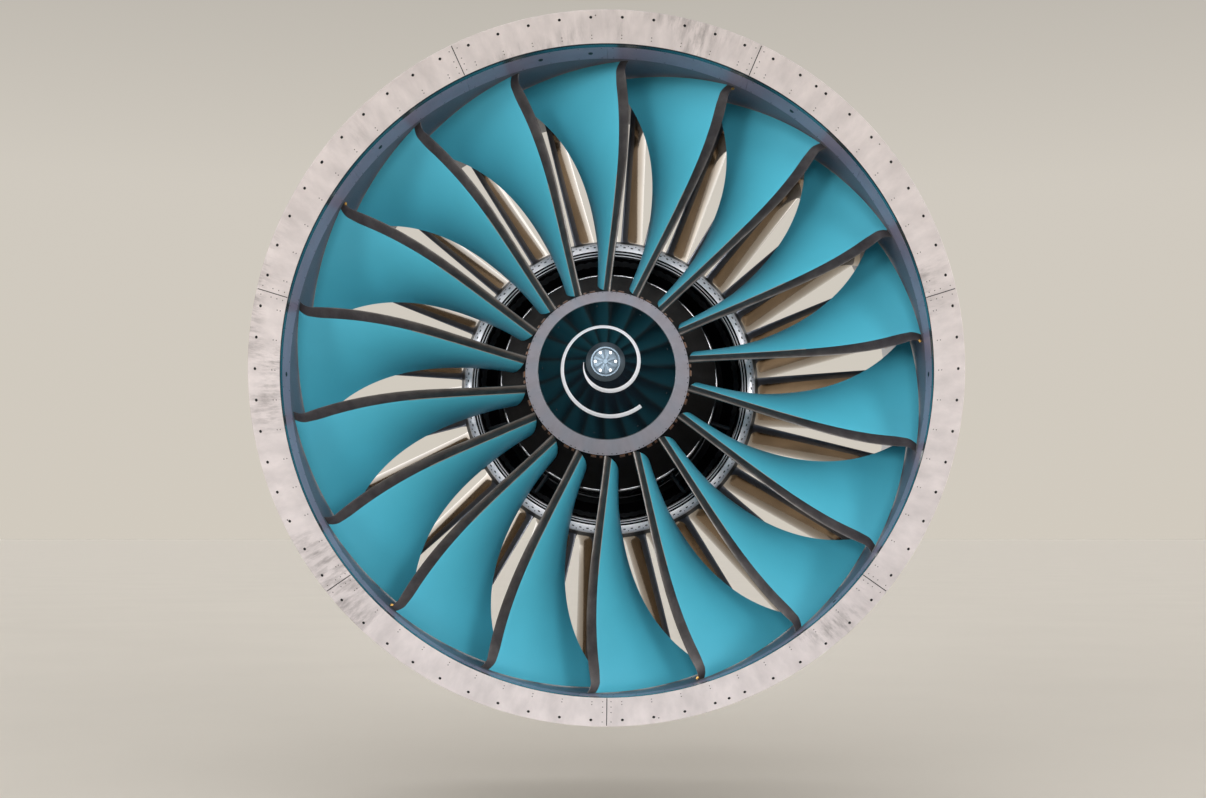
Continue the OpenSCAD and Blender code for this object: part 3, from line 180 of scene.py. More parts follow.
# Materials
def coords(nt, turned, stretch):
    """Object coordinates, or for turned surfaces the angle, station and radius, stretched."""
    where = nt.nodes.new("ShaderNodeTexCoord")
    out = where.outputs["Object"]
    if turned:
        split = nt.nodes.new("ShaderNodeSeparateXYZ")
        nt.links.new(out, split.inputs[0])
        angle = nt.nodes.new("ShaderNodeMath")
        angle.operation = "ARCTAN2"
        nt.links.new(split.outputs["X"], angle.inputs[0])
        nt.links.new(split.outputs["Z"], angle.inputs[1])
        flat = nt.nodes.new("ShaderNodeCombineXYZ")
        nt.links.new(split.outputs["X"], flat.inputs[0])
        nt.links.new(split.outputs["Z"], flat.inputs[2])
        radius = nt.nodes.new("ShaderNodeVectorMath")
        radius.operation = "LENGTH"
        nt.links.new(flat.outputs[0], radius.inputs[0])
        turned_place = nt.nodes.new("ShaderNodeCombineXYZ")
        nt.links.new(angle.outputs[0], turned_place.inputs[0])
        nt.links.new(split.outputs["Y"], turned_place.inputs[1])
        nt.links.new(radius.outputs["Value"], turned_place.inputs[2])
        out = turned_place.outputs[0]
    scale = nt.nodes.new("ShaderNodeMapping")
    scale.inputs["Scale"].default_value = stretch
    nt.links.new(out, scale.inputs[0])
    return scale.outputs[0]


def noise(nt, vector, scale, detail=4.0, rough=0.55):
    """A noise from 0 to 1, about 0.5 on average."""
    n = nt.nodes.new("ShaderNodeTexNoise")
    n.inputs["Scale"].default_value = scale
    n.inputs["Detail"].default_value = detail
    n.inputs["Roughness"].default_value = rough
    nt.links.new(vector, n.inputs["Vector"])
    return n.outputs["Fac"]


def remap(nt, value, low, high, out_low, out_high):
    """The value's range from low to high, stretched to the new range and clamped to it."""
    m = nt.nodes.new("ShaderNodeMapRange")
    for name, v in (("From Min", low), ("From Max", high), ("To Min", out_low), ("To Max", out_high)):
        m.inputs[name].default_value = v
    nt.links.new(value, m.inputs["Value"])
    return m.outputs[0]


def material(name, stops, rough, metal=0.0, coat=0.0, clouds=3.0, grain=60.0, bump=0.02,
             turned=False, stretch=(1, 1, 1), coat_rough=0.08, gloss=0.5):
    """Colour follows slow clouds over the stops, and roughness and bump follow a fine grain."""
    m = bpy.data.materials.new(name)
    m.use_nodes = True
    nt = m.node_tree
    shader = nt.nodes["Principled BSDF"]
    slow = noise(nt, coords(nt, turned, stretch), clouds)
    fine = noise(nt, coords(nt, turned, stretch), grain, 6.0, 0.6)
    ramp = nt.nodes.new("ShaderNodeValToRGB")
    fill_ramp(ramp, stops)
    nt.links.new(slow, ramp.inputs[0])
    nt.links.new(ramp.outputs[0], shader.inputs["Base Color"])
    nt.links.new(remap(nt, fine, 0.3, 0.7, rough[0], rough[1]), shader.inputs["Roughness"])
    lift = nt.nodes.new("ShaderNodeBump")
    lift.inputs["Strength"].default_value = bump
    lift.inputs["Distance"].default_value = 0.01
    nt.links.new(fine, lift.inputs["Height"])
    nt.links.new(lift.outputs[0], shader.inputs["Normal"])
    shader.inputs["Metallic"].default_value = metal
    shader.inputs["Coat Weight"].default_value = coat
    shader.inputs["Specular IOR Level"].default_value = gloss
    shader.inputs["Coat Roughness"].default_value = coat_rough
    return m


def tones(r, g, b, spread_by):
    """Three stops round a colour, darker, as given and lighter."""
    def near(f):
        return srgb(*(min(255, v * f) for v in (r, g, b)))
    return [(0.3, near(1 - spread_by)), (0.5, near(1)), (0.7, near(1 + spread_by))]


def ring_paint():
    """Pale paint with slow clouds, and with dark smudges where the mask of a second noise is high."""
    m = material("front_ring", tones(220, 211, 210, 0.05), (0.30, 0.46), metal=0.3, clouds=6, grain=60,
                 bump=0.01, turned=True, stretch=(4, 1, 1))
    nt = m.node_tree
    shader = nt.nodes["Principled BSDF"]
    base = shader.inputs["Base Color"].links[0].from_socket
    where = coords(nt, False, (1, 1, 1))
    patches = remap(nt, noise(nt, where, 1.3, 2.0), 0.54, 0.66, 0, 1)
    streaks = remap(nt, noise(nt, coords(nt, True, (30, 1, 5)), 1.6, 6.0, 0.7), 0.44, 0.72, 0, 1)
    mask = nt.nodes.new("ShaderNodeMath")
    mask.operation = "MULTIPLY"
    nt.links.new(patches, mask.inputs[0])
    nt.links.new(streaks, mask.inputs[1])
    mix_in = nt.nodes.new("ShaderNodeMix")
    mix_in.data_type, mix_in.blend_type = "RGBA", "MIX"
    mix_in.inputs[7].default_value = srgb(142, 135, 134)
    nt.links.new(mask.outputs[0], mix_in.inputs["Factor"])
    nt.links.new(base, mix_in.inputs[6])
    nt.links.new(mix_in.outputs[2], shader.inputs["Base Color"])
    return m


ROUND = (1.0, 40.0, 40.0)  # long streaks round the shaft, as a lathe leaves them
MATERIALS = {
    "blade_composite": material("blade_teal", tones(77, 176, 199, 0.02), (0.36, 0.44), coat=0.08,
                                clouds=2.0, grain=260, bump=0.012, coat_rough=0.25),
    "blade_metal_edge": material("edge_titanium", tones(107, 104, 102, 0.12), (0.32, 0.46), metal=0.92,
                                 clouds=14, grain=160, bump=0.03),
    "filler_black": material("filler_gloss_black", tones(14, 12, 13, 0.2), (0.38, 0.5), gloss=0.01,
                             clouds=5, grain=120, bump=0.01),
    "spinner_paint": material("spinner_blue_black", tones(3, 13, 18, 0.12), (0.12, 0.2), gloss=0.36,
                              clouds=4, grain=200, bump=0.006),
    "fairing_grey": material("fairing_grey", tones(184, 180, 190, 0.03), (0.3, 0.42), metal=0.35,
                             clouds=6, grain=160, bump=0.015, turned=True, stretch=(2, 1, 1)),
    "cap_bright": material("cap_brushed", tones(80, 92, 102, 0.05), (0.25, 0.34), metal=0.85,
                           clouds=20, grain=300, bump=0.02, turned=True, stretch=(0.5, 6, 6)),
    "mark_white": material("mark_white", tones(246, 248, 255, 0.0), (0.3, 0.4), clouds=6,
                           grain=200, bump=0.01),
    "forged_titanium": material("titanium_turned", tones(140, 140, 144, 0.06), (0.24, 0.36),
                                metal=1.0, grain=30, bump=0.02, turned=True, stretch=ROUND),
    "gear_steel": material("gear_steel", tones(168, 170, 174, 0.04), (0.18, 0.3), metal=1.0,
                           clouds=12, grain=200, bump=0.02),
    "rotor_metal": material("rotor_alloy", tones(140, 137, 130, 0.08), (0.26, 0.4), metal=1.0,
                            grain=30, bump=0.02, turned=True, stretch=ROUND),
    "ring_paint": ring_paint(),
    "bolt_black": material("bolt_black", tones(22, 22, 24, 0.15), (0.35, 0.5), metal=0.5, grain=300),
    "case_alloy": material("case_alloy", tones(128, 130, 134, 0.06), (0.34, 0.5), metal=0.85,
                           grain=24, bump=0.03, turned=True, stretch=ROUND),
    "liner_grey": material("liner_blue_grey", tones(158, 147, 172, 0.03), (0.34, 0.46), metal=0.1,
                           clouds=5, grain=40, bump=0.012, turned=True, stretch=(4, 1, 1)),
    "vane_metal": material("vane_polished", tones(142, 129, 113, 0.10), (0.08, 0.16), metal=1.0,
                           clouds=3, grain=120, bump=0.01),
    "frame_metal": material("frame_dark", tones(72, 74, 77, 0.08), (0.35, 0.5), metal=0.7,
                            clouds=8, grain=90, bump=0.03),
    # Near-white and mostly matt: the polished metal's pale tone with the sheen of the lamps painted into
    # its colour.
    "splitter_metal": material("splitter_painted_sheen", tones(246, 245, 250, 0.015), (0.2, 0.3),
                               metal=0.2, grain=60, bump=0.01, turned=True, stretch=ROUND),
    "bearing_steel": material("bearing_steel", tones(176, 162, 126, 0.05), (0.15, 0.28), metal=1.0,
                              grain=40, turned=True, stretch=ROUND),
    "hot_alloy": material("heat_tinted_alloy", [(0.25, srgb(104, 84, 72)), (0.5, srgb(134, 112, 92)),
                          (0.62, srgb(120, 112, 118)), (0.78, srgb(150, 128, 100))], (0.34, 0.52),
                          metal=1.0, clouds=5, grain=50, bump=0.03, turned=True, stretch=(2, 3, 3)),
    "exhaust_alloy": material("exhaust_alloy", tones(152, 142, 132, 0.07), (0.3, 0.45), metal=1.0,
                              clouds=6, grain=40, bump=0.025, turned=True, stretch=(2, 5, 5)),
    "unit_alloy": material("cast_alloy", tones(146, 150, 154, 0.05), (0.42, 0.58), metal=0.8,
                           clouds=10, grain=220, bump=0.06),
    "unit_blue": material("housing_blue", tones(44, 72, 116, 0.06), (0.35, 0.48), metal=0.4,
                          clouds=10, grain=200, bump=0.03),
    "strut_metal": material("strut_titanium", tones(104, 107, 112, 0.06), (0.3, 0.44), metal=0.9,
                            clouds=8, grain=120, bump=0.02),
    "vane_edge": material("vane_edge_strip", tones(120, 122, 130, 0.04), (0.3, 0.4), metal=0.8,
                          clouds=6, grain=120, bump=0.01),
    # Near-black gloss: painted shade for the core inlet and the inside of the splitter's lip.
    "inlet_painted_shade": material("inlet_painted_shade_black", tones(10, 9, 11, 0.15), (0.12, 0.2), gloss=0.3,
                            clouds=6, grain=120, bump=0.01),
    "cap_bolt": material("cap_bolt_steel", tones(222, 222, 226, 0.02), (0.3, 0.4), metal=0.9,
                         clouds=20, grain=200),
    "screw_dark": material("screw_dark", tones(60, 62, 66, 0.1), (0.3, 0.45), metal=0.8, grain=300),
    "rivet_grey": material("rivet_grey", tones(104, 96, 95, 0.06), (0.35, 0.5), metal=0.5,
                           grain=300),
    "bronze": material("foot_bronze", tones(118, 84, 62, 0.1), (0.3, 0.45), metal=0.8, clouds=30,
                       grain=300),
    "brass": material("tab_brass", tones(170, 132, 72, 0.08), (0.25, 0.4), metal=1.0, clouds=30,
                      grain=300),
    # Pale grey for the lines along the metal edges' joints, a painted highlight.
    "joint_highlight_pale": material("joint_highlight_pale", tones(150, 140, 130, 0.06), (0.4, 0.5), clouds=20, grain=300),
    # Black for the ring's seams, and painted shade for the gap behind the ring's inner edge.
    "joints_and_gap_shade_black": material("black_joints_and_gap_shade", tones(16, 15, 16, 0.15), (0.5, 0.7), clouds=20, grain=300),
    "liner_band": material("liner_band", tones(58, 84, 94, 0.06), (0.18, 0.28), metal=0.7,
                           clouds=8, grain=80, bump=0.01, turned=True, stretch=(4, 1, 1)),
    "liner_track": material("track_liner", tones(108, 102, 116, 0.04), (0.34, 0.46), metal=0.1,
                            clouds=6, grain=60, bump=0.012, turned=True, stretch=(4, 1, 1)),
    "liner_rear": material("rear_liner", tones(118, 124, 134, 0.05), (0.28, 0.4), metal=0.2,
                           clouds=6, grain=60, bump=0.012, turned=True, stretch=(4, 1, 1)),
    "pipe_metal": material("pipe_steel", tones(166, 158, 144, 0.06), (0.2, 0.34), metal=1.0,
                           clouds=9, grain=120, bump=0.015),
}
for part in frame["record"]["subparts"]:
    node = NODES[part["node"]]
    node.data.materials.clear()
    node.data.materials.append(MATERIALS[part["material_slot"]])


# Mesh builders
def build(name, shape, look, body, sharp=32):
    """A mesh piece from (points in mm, faces), smooth apart from edges sharper than sharp."""
    points, faces = shape
    mesh = bpy.data.meshes.new(name)
    mesh.from_pydata([[c * MM for c in p] for p in points], [], faces)
    mesh.materials.append(look)
    mesh.shade_smooth()
    mesh.set_sharp_from_angle(angle=math.radians(sharp))
    mesh.update()
    piece = bpy.data.objects.new(name, mesh)
    scene.collection.objects.link(piece)
    if body:
        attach(piece, body)
    return piece


def join(shapes):
    """Several shapes as one."""
    points, faces = [], []
    for p, f in shapes:
        base = len(points)
        points += p
        faces += [[i + base for i in face] for face in f]
    return points, faces


def moved(shape, matrix):
    """The shape carried to a place."""
    return [tuple(matrix @ Vector(p)) for p in shape[0]], shape[1]


def turned_copy(shape, angle):
    """The shape turned clockwise round the shaft."""
    a = math.radians(angle)
    s, c = math.sin(a), math.cos(a)
    return [(x * c + z * s, y, z * c - x * s) for x, y, z in shape[0]], shape[1]


def around(shape, n, clock=0.0):
    """n copies of the shape, evenly spaced round the shaft."""
    return join([turned_copy(shape, clock + 360.0 * k / n) for k in range(n)])


def loft(sections, caps=True):
    """Closed sections with equally many points, the outside on the right of their direction."""
    n = len(sections[0])
    points = [p for s in sections for p in s]
    faces = []
    for j in range(len(sections) - 1):
        for i in range(n):
            a, b = j * n + i, j * n + (i + 1) % n
            faces.append([a, b, b + n, a + n])
    if caps:
        faces.append(list(range(n))[::-1])
        faces.append([(len(sections) - 1) * n + i for i in range(n)])
    return points, faces


def revolve(profile, steps=240, start=0.0, end=360.0):
    """A closed profile of (radius, station) points turned about the shaft."""
    whole = end - start >= 360
    area = sum(r0 * y1 - r1 * y0 for (r0, y0), (r1, y1) in zip(profile, profile[1:] + profile[:1]))
    if area > 0:
        profile = profile[::-1]
    angles = [mix(start, end, i / steps) for i in range(steps + (not whole))]
    sections = [[polar(r, a, y) for r, y in profile] for a in angles]
    if whole:
        sections.append(sections[0])
    points, faces = loft(sections, not whole)
    if whole:
        wrap = steps * len(profile)
        points = points[:wrap]
        faces = [[i % wrap for i in f] for f in faces]
    return points, faces


def prism(outline, height, bevel=0.0):
    """An outline in XY pushed up along Z, with a chamfer at its top."""
    n = len(outline)
    rings = [(1.0, 0.0), (1.0, height - bevel)]
    if bevel:
        size = max(math.hypot(x, y) for x, y in outline)
        rings.append(((size - bevel) / size, height))
    points = [(x * f, y * f, z) for f, z in rings for x, y in outline]
    faces = [[j * n + i, j * n + (i + 1) % n, (j + 1) * n + (i + 1) % n, (j + 1) * n + i]
             for j in range(len(rings) - 1) for i in range(n)]
    faces.append([(len(rings) - 1) * n + i for i in range(n)])
    faces.append(list(range(n))[::-1])
    return points, faces


def circle(r, n, turn=0.0):
    """n points round a circle in XY."""
    return [(r * math.cos(math.radians(turn + 360 * i / n)),
             r * math.sin(math.radians(turn + 360 * i / n))) for i in range(n)]


def disc(r, height, bevel=0.0, n=16):
    """A round plate with a chamfer at its top."""
    return prism(circle(r, n), height, bevel)


def hex_bolt(r, height):
    """A hexagon head on a washer."""
    washer = disc(r * 1.35, height * 0.22, height * 0.06, 20)
    head = prism(circle(r, 6), height, height * 0.18)
    return join([washer, head])


def seat(angle, r, y, nr, ny, turn=0.0):
    """A place on a turned surface: Z along its normal, X round the shaft."""
    a = math.radians(angle)
    s, c = math.sin(a), math.cos(a)
    up = Vector((nr * s, ny, nr * c)).normalized()
    side = Vector((c, 0, -s))
    m = Matrix((side, up.cross(side), up)).transposed().to_4x4()
    m.translation = Vector((r * s, y, r * c))
    return m @ Matrix.Rotation(math.radians(turn), 4, "Z")


def studded(shape, places):
    """A copy of the shape at each place."""
    return join([moved(shape, m) for m in places])


def tube(path, radius, sides=12):
    """A round tube along a list of points, with closed ends."""
    pts = [Vector(p) for p in path]
    side = None
    sections = []
    for i, p in enumerate(pts):
        ahead = (pts[min(i + 1, len(pts) - 1)] - pts[max(i - 1, 0)]).normalized()
        if side is None:
            side = ahead.orthogonal().normalized()
        side = (side - ahead * side.dot(ahead)).normalized()
        up = ahead.cross(side)
        sections.append([tuple(p + (side * math.cos(2 * math.pi * k / sides)
                                    + up * math.sin(2 * math.pi * k / sides)) * radius)
                         for k in range(sides)])
    return loft(sections)


# Fan blades
FAN_R, FAN_BLADES, FAN_CLOCK = 1778.0, 18, -2.0
PITCH = 360.0 / FAN_BLADES
RIM_R, RIM_Y, RIM_END = 400.0, 200.0, 600.0
ROOT_R, ROOT_W, ROOT_H, NECK_W, NECK_H = 330.0, 86.0, 15.4, 46.0, 42
HUB_Y0, HUB_R0, HUB_Y1, HUB_R1 = 162.0, 451.0, 739.0, 628.0
# Stations and angles of the leading and trailing edges, from the root to the tip
LE_Y, SWEEP_START, TE_Y = (168, 359), 0.4, (610, 640, 805)
LE_TURN, TE_TURN, TE_BEND = (3.7, 7.1, 4.7), (-2.3, -17.8), 2.2
BLADE_T, CAMBER = (46, 16), (26, 8)
GUARD_W, GUARD_PROUD, BOND, TE_T = 65.0, 0.7, 0.6, 3.0
CURL, CURL_START = 1.0, 0.95  # the tip's leading corner turns forward by this angle
TABBED_BLADES = (1, 4, 8, 11, 15)
JOINT_LINE_HALF, JOINT_LINE_SECTIONS = 2.6, 20


def hub_line(y):
    """Radius of the flow's inner wall between the blades."""
    return mix(HUB_R0, HUB_R1, (y - HUB_Y0) / (HUB_Y1 - HUB_Y0))


def span_r(h, y):
    """Radius at a share h of the blade's span."""
    return mix(hub_line(y), FAN_R, h)


def half_t(t, u, edge=TE_T):
    """Half thickness of a wing section at a share u of its chord, no thinner than its rear edge."""
    if u <= 0:
        return 0.0
    curve = 0.2969 * math.sqrt(u) - 0.126 * u - 0.3516 * u * u + 0.2843 * u ** 3 - 0.1015 * u ** 4
    return max(5 * t * curve, edge / 2)


class Section:
    """The blade's section at a share h of its span."""

    def __init__(self, h):
        self.h = h
        self.y = (mix(*LE_Y, ease((h - SWEEP_START) / (1 - SWEEP_START))), arc3(*TE_Y, h))
        curl = CURL * max(0.0, (h - CURL_START) / (1 - CURL_START)) ** 1.8
        self.turn = (arc3(*LE_TURN, h) + curl, mix(*TE_TURN, h ** TE_BEND))
        self.t = mix(*BLADE_T, h ** 0.6)
        self.camber = mix(*CAMBER, h)
        r = span_r(h, mix(*self.y, 0.5))
        run = (math.radians(self.turn[1] - self.turn[0]) * r, self.y[1] - self.y[0])
        self.chord = math.hypot(*run)
        self.run = (run[0] / self.chord, run[1] / self.chord)
        narrow = mix(0.8, 1, ease(h / 0.5)) * mix(1, 0.75, ease((h - 0.88) / 0.12))
        self.guard = GUARD_W * narrow / self.chord
        self.bond = BOND / self.chord

    def point(self, u, side, extra=0.0):
        off = side * (half_t(self.t, u) + extra) - self.camber * 4 * u * (1 - u)
        y = mix(*self.y, u) - off * self.run[0]
        r = span_r(self.h, y)
        return polar(r, mix(*self.turn, u) + math.degrees(off * self.run[1] / r), y)


SPAN = [0.95 * h for h in spread(38)] + [mix(0.95, 1, f) for f in spread(8)[1:]]


def blade_body():
    """The dovetail root and the composite blade, with a step behind the metal edge's bond."""
    us = spread(22)
    sections = []
    for z, w in ((ROOT_R, ROOT_W), (ROOT_R + ROOT_H, ROOT_W), (ROOT_R + NECK_H, NECK_W),
                 (RIM_R + 0.5, NECK_W)):
        sections.append([(w / 2, mix(RIM_Y, RIM_END, u), z) for u in us]
                        + [(-w / 2, mix(RIM_Y, RIM_END, u), z) for u in us[::-1]]
                        + [(0, RIM_Y - 2, z)])
    for h in SPAN:
        s = Section(h)
        along = [mix(s.guard + s.bond, 1, u) for u in us]
        ring = ([s.point(u, 1) for u in along] + [s.point(u, -1) for u in along[::-1]]
                + [s.point(s.guard * 0.45 + 2 * s.bond, 0)])
        if h == 0:
            sections.append([(x, y, RIM_R + 2.5) for x, y, z in ring])
        sections.append(ring)
    return loft(sections)


def guard():
    """The metal leading edge, a touch proud of the blade, so that its rear edge shows."""
    us = spread(9, 1.8)
    sections = []
    for h in SPAN:
        s = Section(h)
        ring = [s.point(s.guard * u, 1, GUARD_PROUD * u) for u in us[::-1]]
        ring += [s.point(s.guard * u, -1, GUARD_PROUD * u) for u in us[1:]]
        ring.append(s.point(s.guard * 0.45, 0))
        sections.append(ring[::-1])
    return loft(sections)


blade = blade_body()
for k in range(FAN_BLADES):
    piece = build(f"blade_{k + 1:02d}", turned_copy(blade, FAN_CLOCK + PITCH * k),
                  MATERIALS["blade_composite"], "fan", 40)
    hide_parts(f"fan_blade_{k + 1:02d}")
edges = build("blade_edges", around(guard(), FAN_BLADES, FAN_CLOCK), MATERIALS["blade_metal_edge"],
              "fan", 40)
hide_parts("blade_leading_edges")


def tip_tab():
    """A small brass tab on the nose of the blade's tip."""
    s = Section(0.988)
    return moved(prism([(-9, -6), (9, -6), (9, 6), (-9, 6)], 4.5, 1.5),
                 seat(s.turn[0], span_r(0.988, s.y[0]), s.y[0] - 0.4, 0, -1, 30))


build("blade_tip_tabs", join([turned_copy(tip_tab(), FAN_CLOCK + PITCH * k) for k in TABBED_BLADES]),
      MATERIALS["brass"], "fan")


def joint_highlight_lines():
    """A thin pale line along the guard's rear edge, on both faces, up to the mid span: the joint, with
    the highlight along it painted pale.
    """
    shapes = []
    for side in (-1, 1):
        sections = []
        for h in SPAN[:JOINT_LINE_SECTIONS]:
            s = Section(h)
            wide = JOINT_LINE_HALF / s.chord
            sections.append([s.point(s.guard - wide, side, 1.3), s.point(s.guard + wide, side, 1.0),
                             s.point(s.guard + wide, side, -0.8), s.point(s.guard - wide, side, -0.8)])
        shapes.append(loft([ring[::side] for ring in sections]))
    return join(shapes)


# Pale lines along the joints near the roots, painted highlights.
build("edge_joint_highlight_lines", around(joint_highlight_lines(), FAN_BLADES, FAN_CLOCK), MATERIALS["joint_highlight_pale"], "fan")


# Outlet guide vanes
VANES, DUCT_R, TRACK_R = 40, 905.0, 1783.0
VANE_Y, VANE_SWEEP, VANE_LEN, VANE_ANGLE, VANE_T, VANE_CLOCK = 1235.0, 95.0, 365.0, 35.0, 30.0, 4.3
VANE_FILLET, VANE_STRIP = 42.0, 0.11
VANE_ENDS = [0, 0.006, 0.013, 0.022, 0.033, 0.047, 0.075]
VANE_H = VANE_ENDS + [mix(0.075, 0.925, f) for f in spread(12)[1:-1]] + [1 - h for h in VANE_ENDS[::-1]]


def vane_point(h, u, side, extra=0.0):
    """A point on a vane at shares h of its span and u of its chord, with fillets at both ends."""
    r = mix(DUCT_R + 0.6, TRACK_R - 0.3, h)
    lead = VANE_LEN * math.tan(math.radians(mix(VANE_ANGLE, VANE_ANGLE - 8, h))) / 2
    x = lead * (1 - (1 - u) ** 2)
    size = math.hypot(lead, VANE_LEN)
    foot = max(0.0, 1 - min(r - DUCT_R, TRACK_R - r) / VANE_FILLET) ** 2.2 * VANE_FILLET * 0.6
    off = side * (half_t(mix(VANE_T, VANE_T * 0.8, h), u) + extra + foot * min(1, u * 10))
    return polar(r, VANE_CLOCK + math.degrees((x - off * VANE_LEN / size) / r),
                 VANE_Y + VANE_SWEEP * h + u * VANE_LEN + off * lead / size)


def vane_shape(us, extra=0.0):
    """A vane over the chord shares us, or the strip round its nose where extra lifts it."""
    return loft([[vane_point(h, u, -1, extra) for u in us[1:]]
                 + [vane_point(h, u, 1, extra) for u in us[:0:-1]]
                 + [vane_point(h, 0, 0)] for h in VANE_H])


vanes = build("guide_vanes", around(vane_shape(spread(18, 1.8)), VANES), MATERIALS["vane_metal"],
              "static_structure", 40)
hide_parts("outlet_guide_vanes")
build("vane_strips", around(vane_shape([VANE_STRIP * u for u in spread(7, 1.8)], 0.6), VANES),
      MATERIALS["vane_edge"], "static_structure", 40)


# Spinner: cap, spiral, screws
CONE_R, CONE_LEN, CAP_R, CAP_FACE_R, CAP_LEN = 373.0, 452.0, 101.0, 78.0, 26.0
CAP_FRONT = -CONE_LEN - CAP_LEN
CAP_BOLTS, CAP_BOLT_R, CAP_PETALS = 6, 52.0, 8
CONE_SCREWS, SCREW_R, SCREW_CLOCK = 9, 345.0, -8.7
FAIRING_PAIRS, PAIR_CLOCK, PAIR_HALF = 36, 5, 1.7
FAIRING_SCREW_AT = 0.9  # share of the way from the cone to the blades
FAIRING_NORMAL = (0.9, -0.433)
CONE_NORMAL = (CONE_LEN, CAP_R - CONE_R)  # outward: radius, station


def cone_y(r):
    """Station of the cone's skin at a radius."""
    return -CONE_LEN * (CONE_R - r) / (CONE_R - CAP_R)


def cap_shape():
    """A dished face with eight shallow petals inside a raised rim."""
    y0, steps = CAP_FRONT, 144
    # Radius, depth behind the front and height of the petals
    rings = [(0.5, 6, 0), (24, 5, 0.5), (44, 4, 1.6), (62, 3.2, 0.6), (65, 0.6, 0), (68, 0, 0),
             (75, 0, 0), (CAP_FACE_R, 2, 0), (93, 12, 0), (99, CAP_LEN - 9, 0),
             (CAP_R, CAP_LEN - 7, 0), (CAP_R, CAP_LEN, 0), (0.5, CAP_LEN, 0)]
    sections = []
    for i in range(steps):
        a = 360 * i / steps
        wave = abs(math.sin(math.radians(CAP_PETALS / 2 * a)))
        sections.append([polar(r, a, y0 + dy + wave * petal) for r, dy, petal in rings[::-1]])
    points, faces = loft(sections + [sections[0]], False)
    wrap = steps * len(rings)
    return points[:wrap], [[i % wrap for i in f] for f in faces]


cap = build("spinner_cap", cap_shape(), MATERIALS["cap_bright"], "fan", 25)
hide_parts("nose_cap")
build("spinner_cap_bolts",
      studded(hex_bolt(5.5, 5), [seat(30 + 360 / CAP_BOLTS * k, CAP_BOLT_R, CAP_FRONT + 2.4, 0, -1)
                                 for k in range(CAP_BOLTS)]),
      MATERIALS["cap_bolt"], "fan")
build("spinner_cap_centre", moved(disc(13, 3, 1.2, 32), seat(0, 0.01, CAP_FRONT + 3, 0, -1)),
      MATERIALS["cap_bright"], "fan")


SPIRAL_R0, SPIRAL_R1, SPIRAL_TURN, SPIRAL_W = 112.0, 274.0, 492.0, 18.5


def spiral_shape():
    """A flat stroke on the cone that swells from the cap's edge and unwinds outwards."""
    steps = 260
    sections = []
    for i in range(steps + 1):
        f = i / steps
        half = SPIRAL_W / 2 * min(1, 0.12 + f * 7)
        ring = []
        for edge, up in ((-1, 0), (-1, 1), (1, 1), (1, 0)):
            r = max(mix(SPIRAL_R0, SPIRAL_R1, f) + edge * half, CAP_R + 1.0)
            lift = 0.15 + 0.45 * up
            ring.append(polar(r, 270 - SPIRAL_TURN * f, cone_y(r) - lift))
        sections.append(ring)
    return loft(sections)


spiral = build("spiral_band", spiral_shape(), MATERIALS["mark_white"], "fan")
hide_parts("spiral_mark")
build("cone_screws", studded(disc(5.5, 1.0, 0.5), [
    seat(SCREW_CLOCK + 360 / CONE_SCREWS * k, SCREW_R, cone_y(SCREW_R) - 0.2, *CONE_NORMAL)
    for k in range(CONE_SCREWS)]), MATERIALS["screw_dark"], "fan")
build("fairing_screws", studded(disc(4.2, 1.0, 0.4), [
    seat(PAIR_CLOCK + 360 / FAIRING_PAIRS * k + side * PAIR_HALF,
         mix(CONE_R, HUB_R0, FAIRING_SCREW_AT) + 0.3, HUB_Y0 * FAIRING_SCREW_AT, *FAIRING_NORMAL)
    for k in range(FAIRING_PAIRS) for side in (-1, 1)]), MATERIALS["screw_dark"], "fan")
build("fairing_front_rim", revolve([(CONE_R - 1.5, -1.4), (CONE_R + 0.9, -1.0), (CONE_R + 2.2, 1.4),
                                    (CONE_R - 1.5, 1.4)], 240),
      MATERIALS["strut_metal"], "fan")


# Front ring: rivets and bolts
LIP_R, LIP_RISE, LIP_DEPTH, LIP_PARTS, LIP_CLOCK = 1769.5, 139.5, 133.0, 7, 25.71
LIP_NORMAL = (-LIP_DEPTH, -LIP_RISE)
BOLTS_A_PART, BOLT_SHARE, RIVET_SHARES = 10, 0.79, (0.25, 0.15)
EXTRA_BOLTS = (36.6, 159.6, 305.9)
MARK_SHARE, MARK_ANGLES = 0.84, (50.6, 171.5, 231.4, 244.6, 358.2)
SEAM_RIVET_SHARES, SEAM_RIVET_ANGLE = (0.85, 0.52, 0.33, 0.14), 0.72


def on_lip(angle, share):
    """A place on the ring's front, share of the way from its inner to its outer edge."""
    return seat(angle, LIP_R + LIP_RISE * share, -LIP_DEPTH * share - 0.3, *LIP_NORMAL)


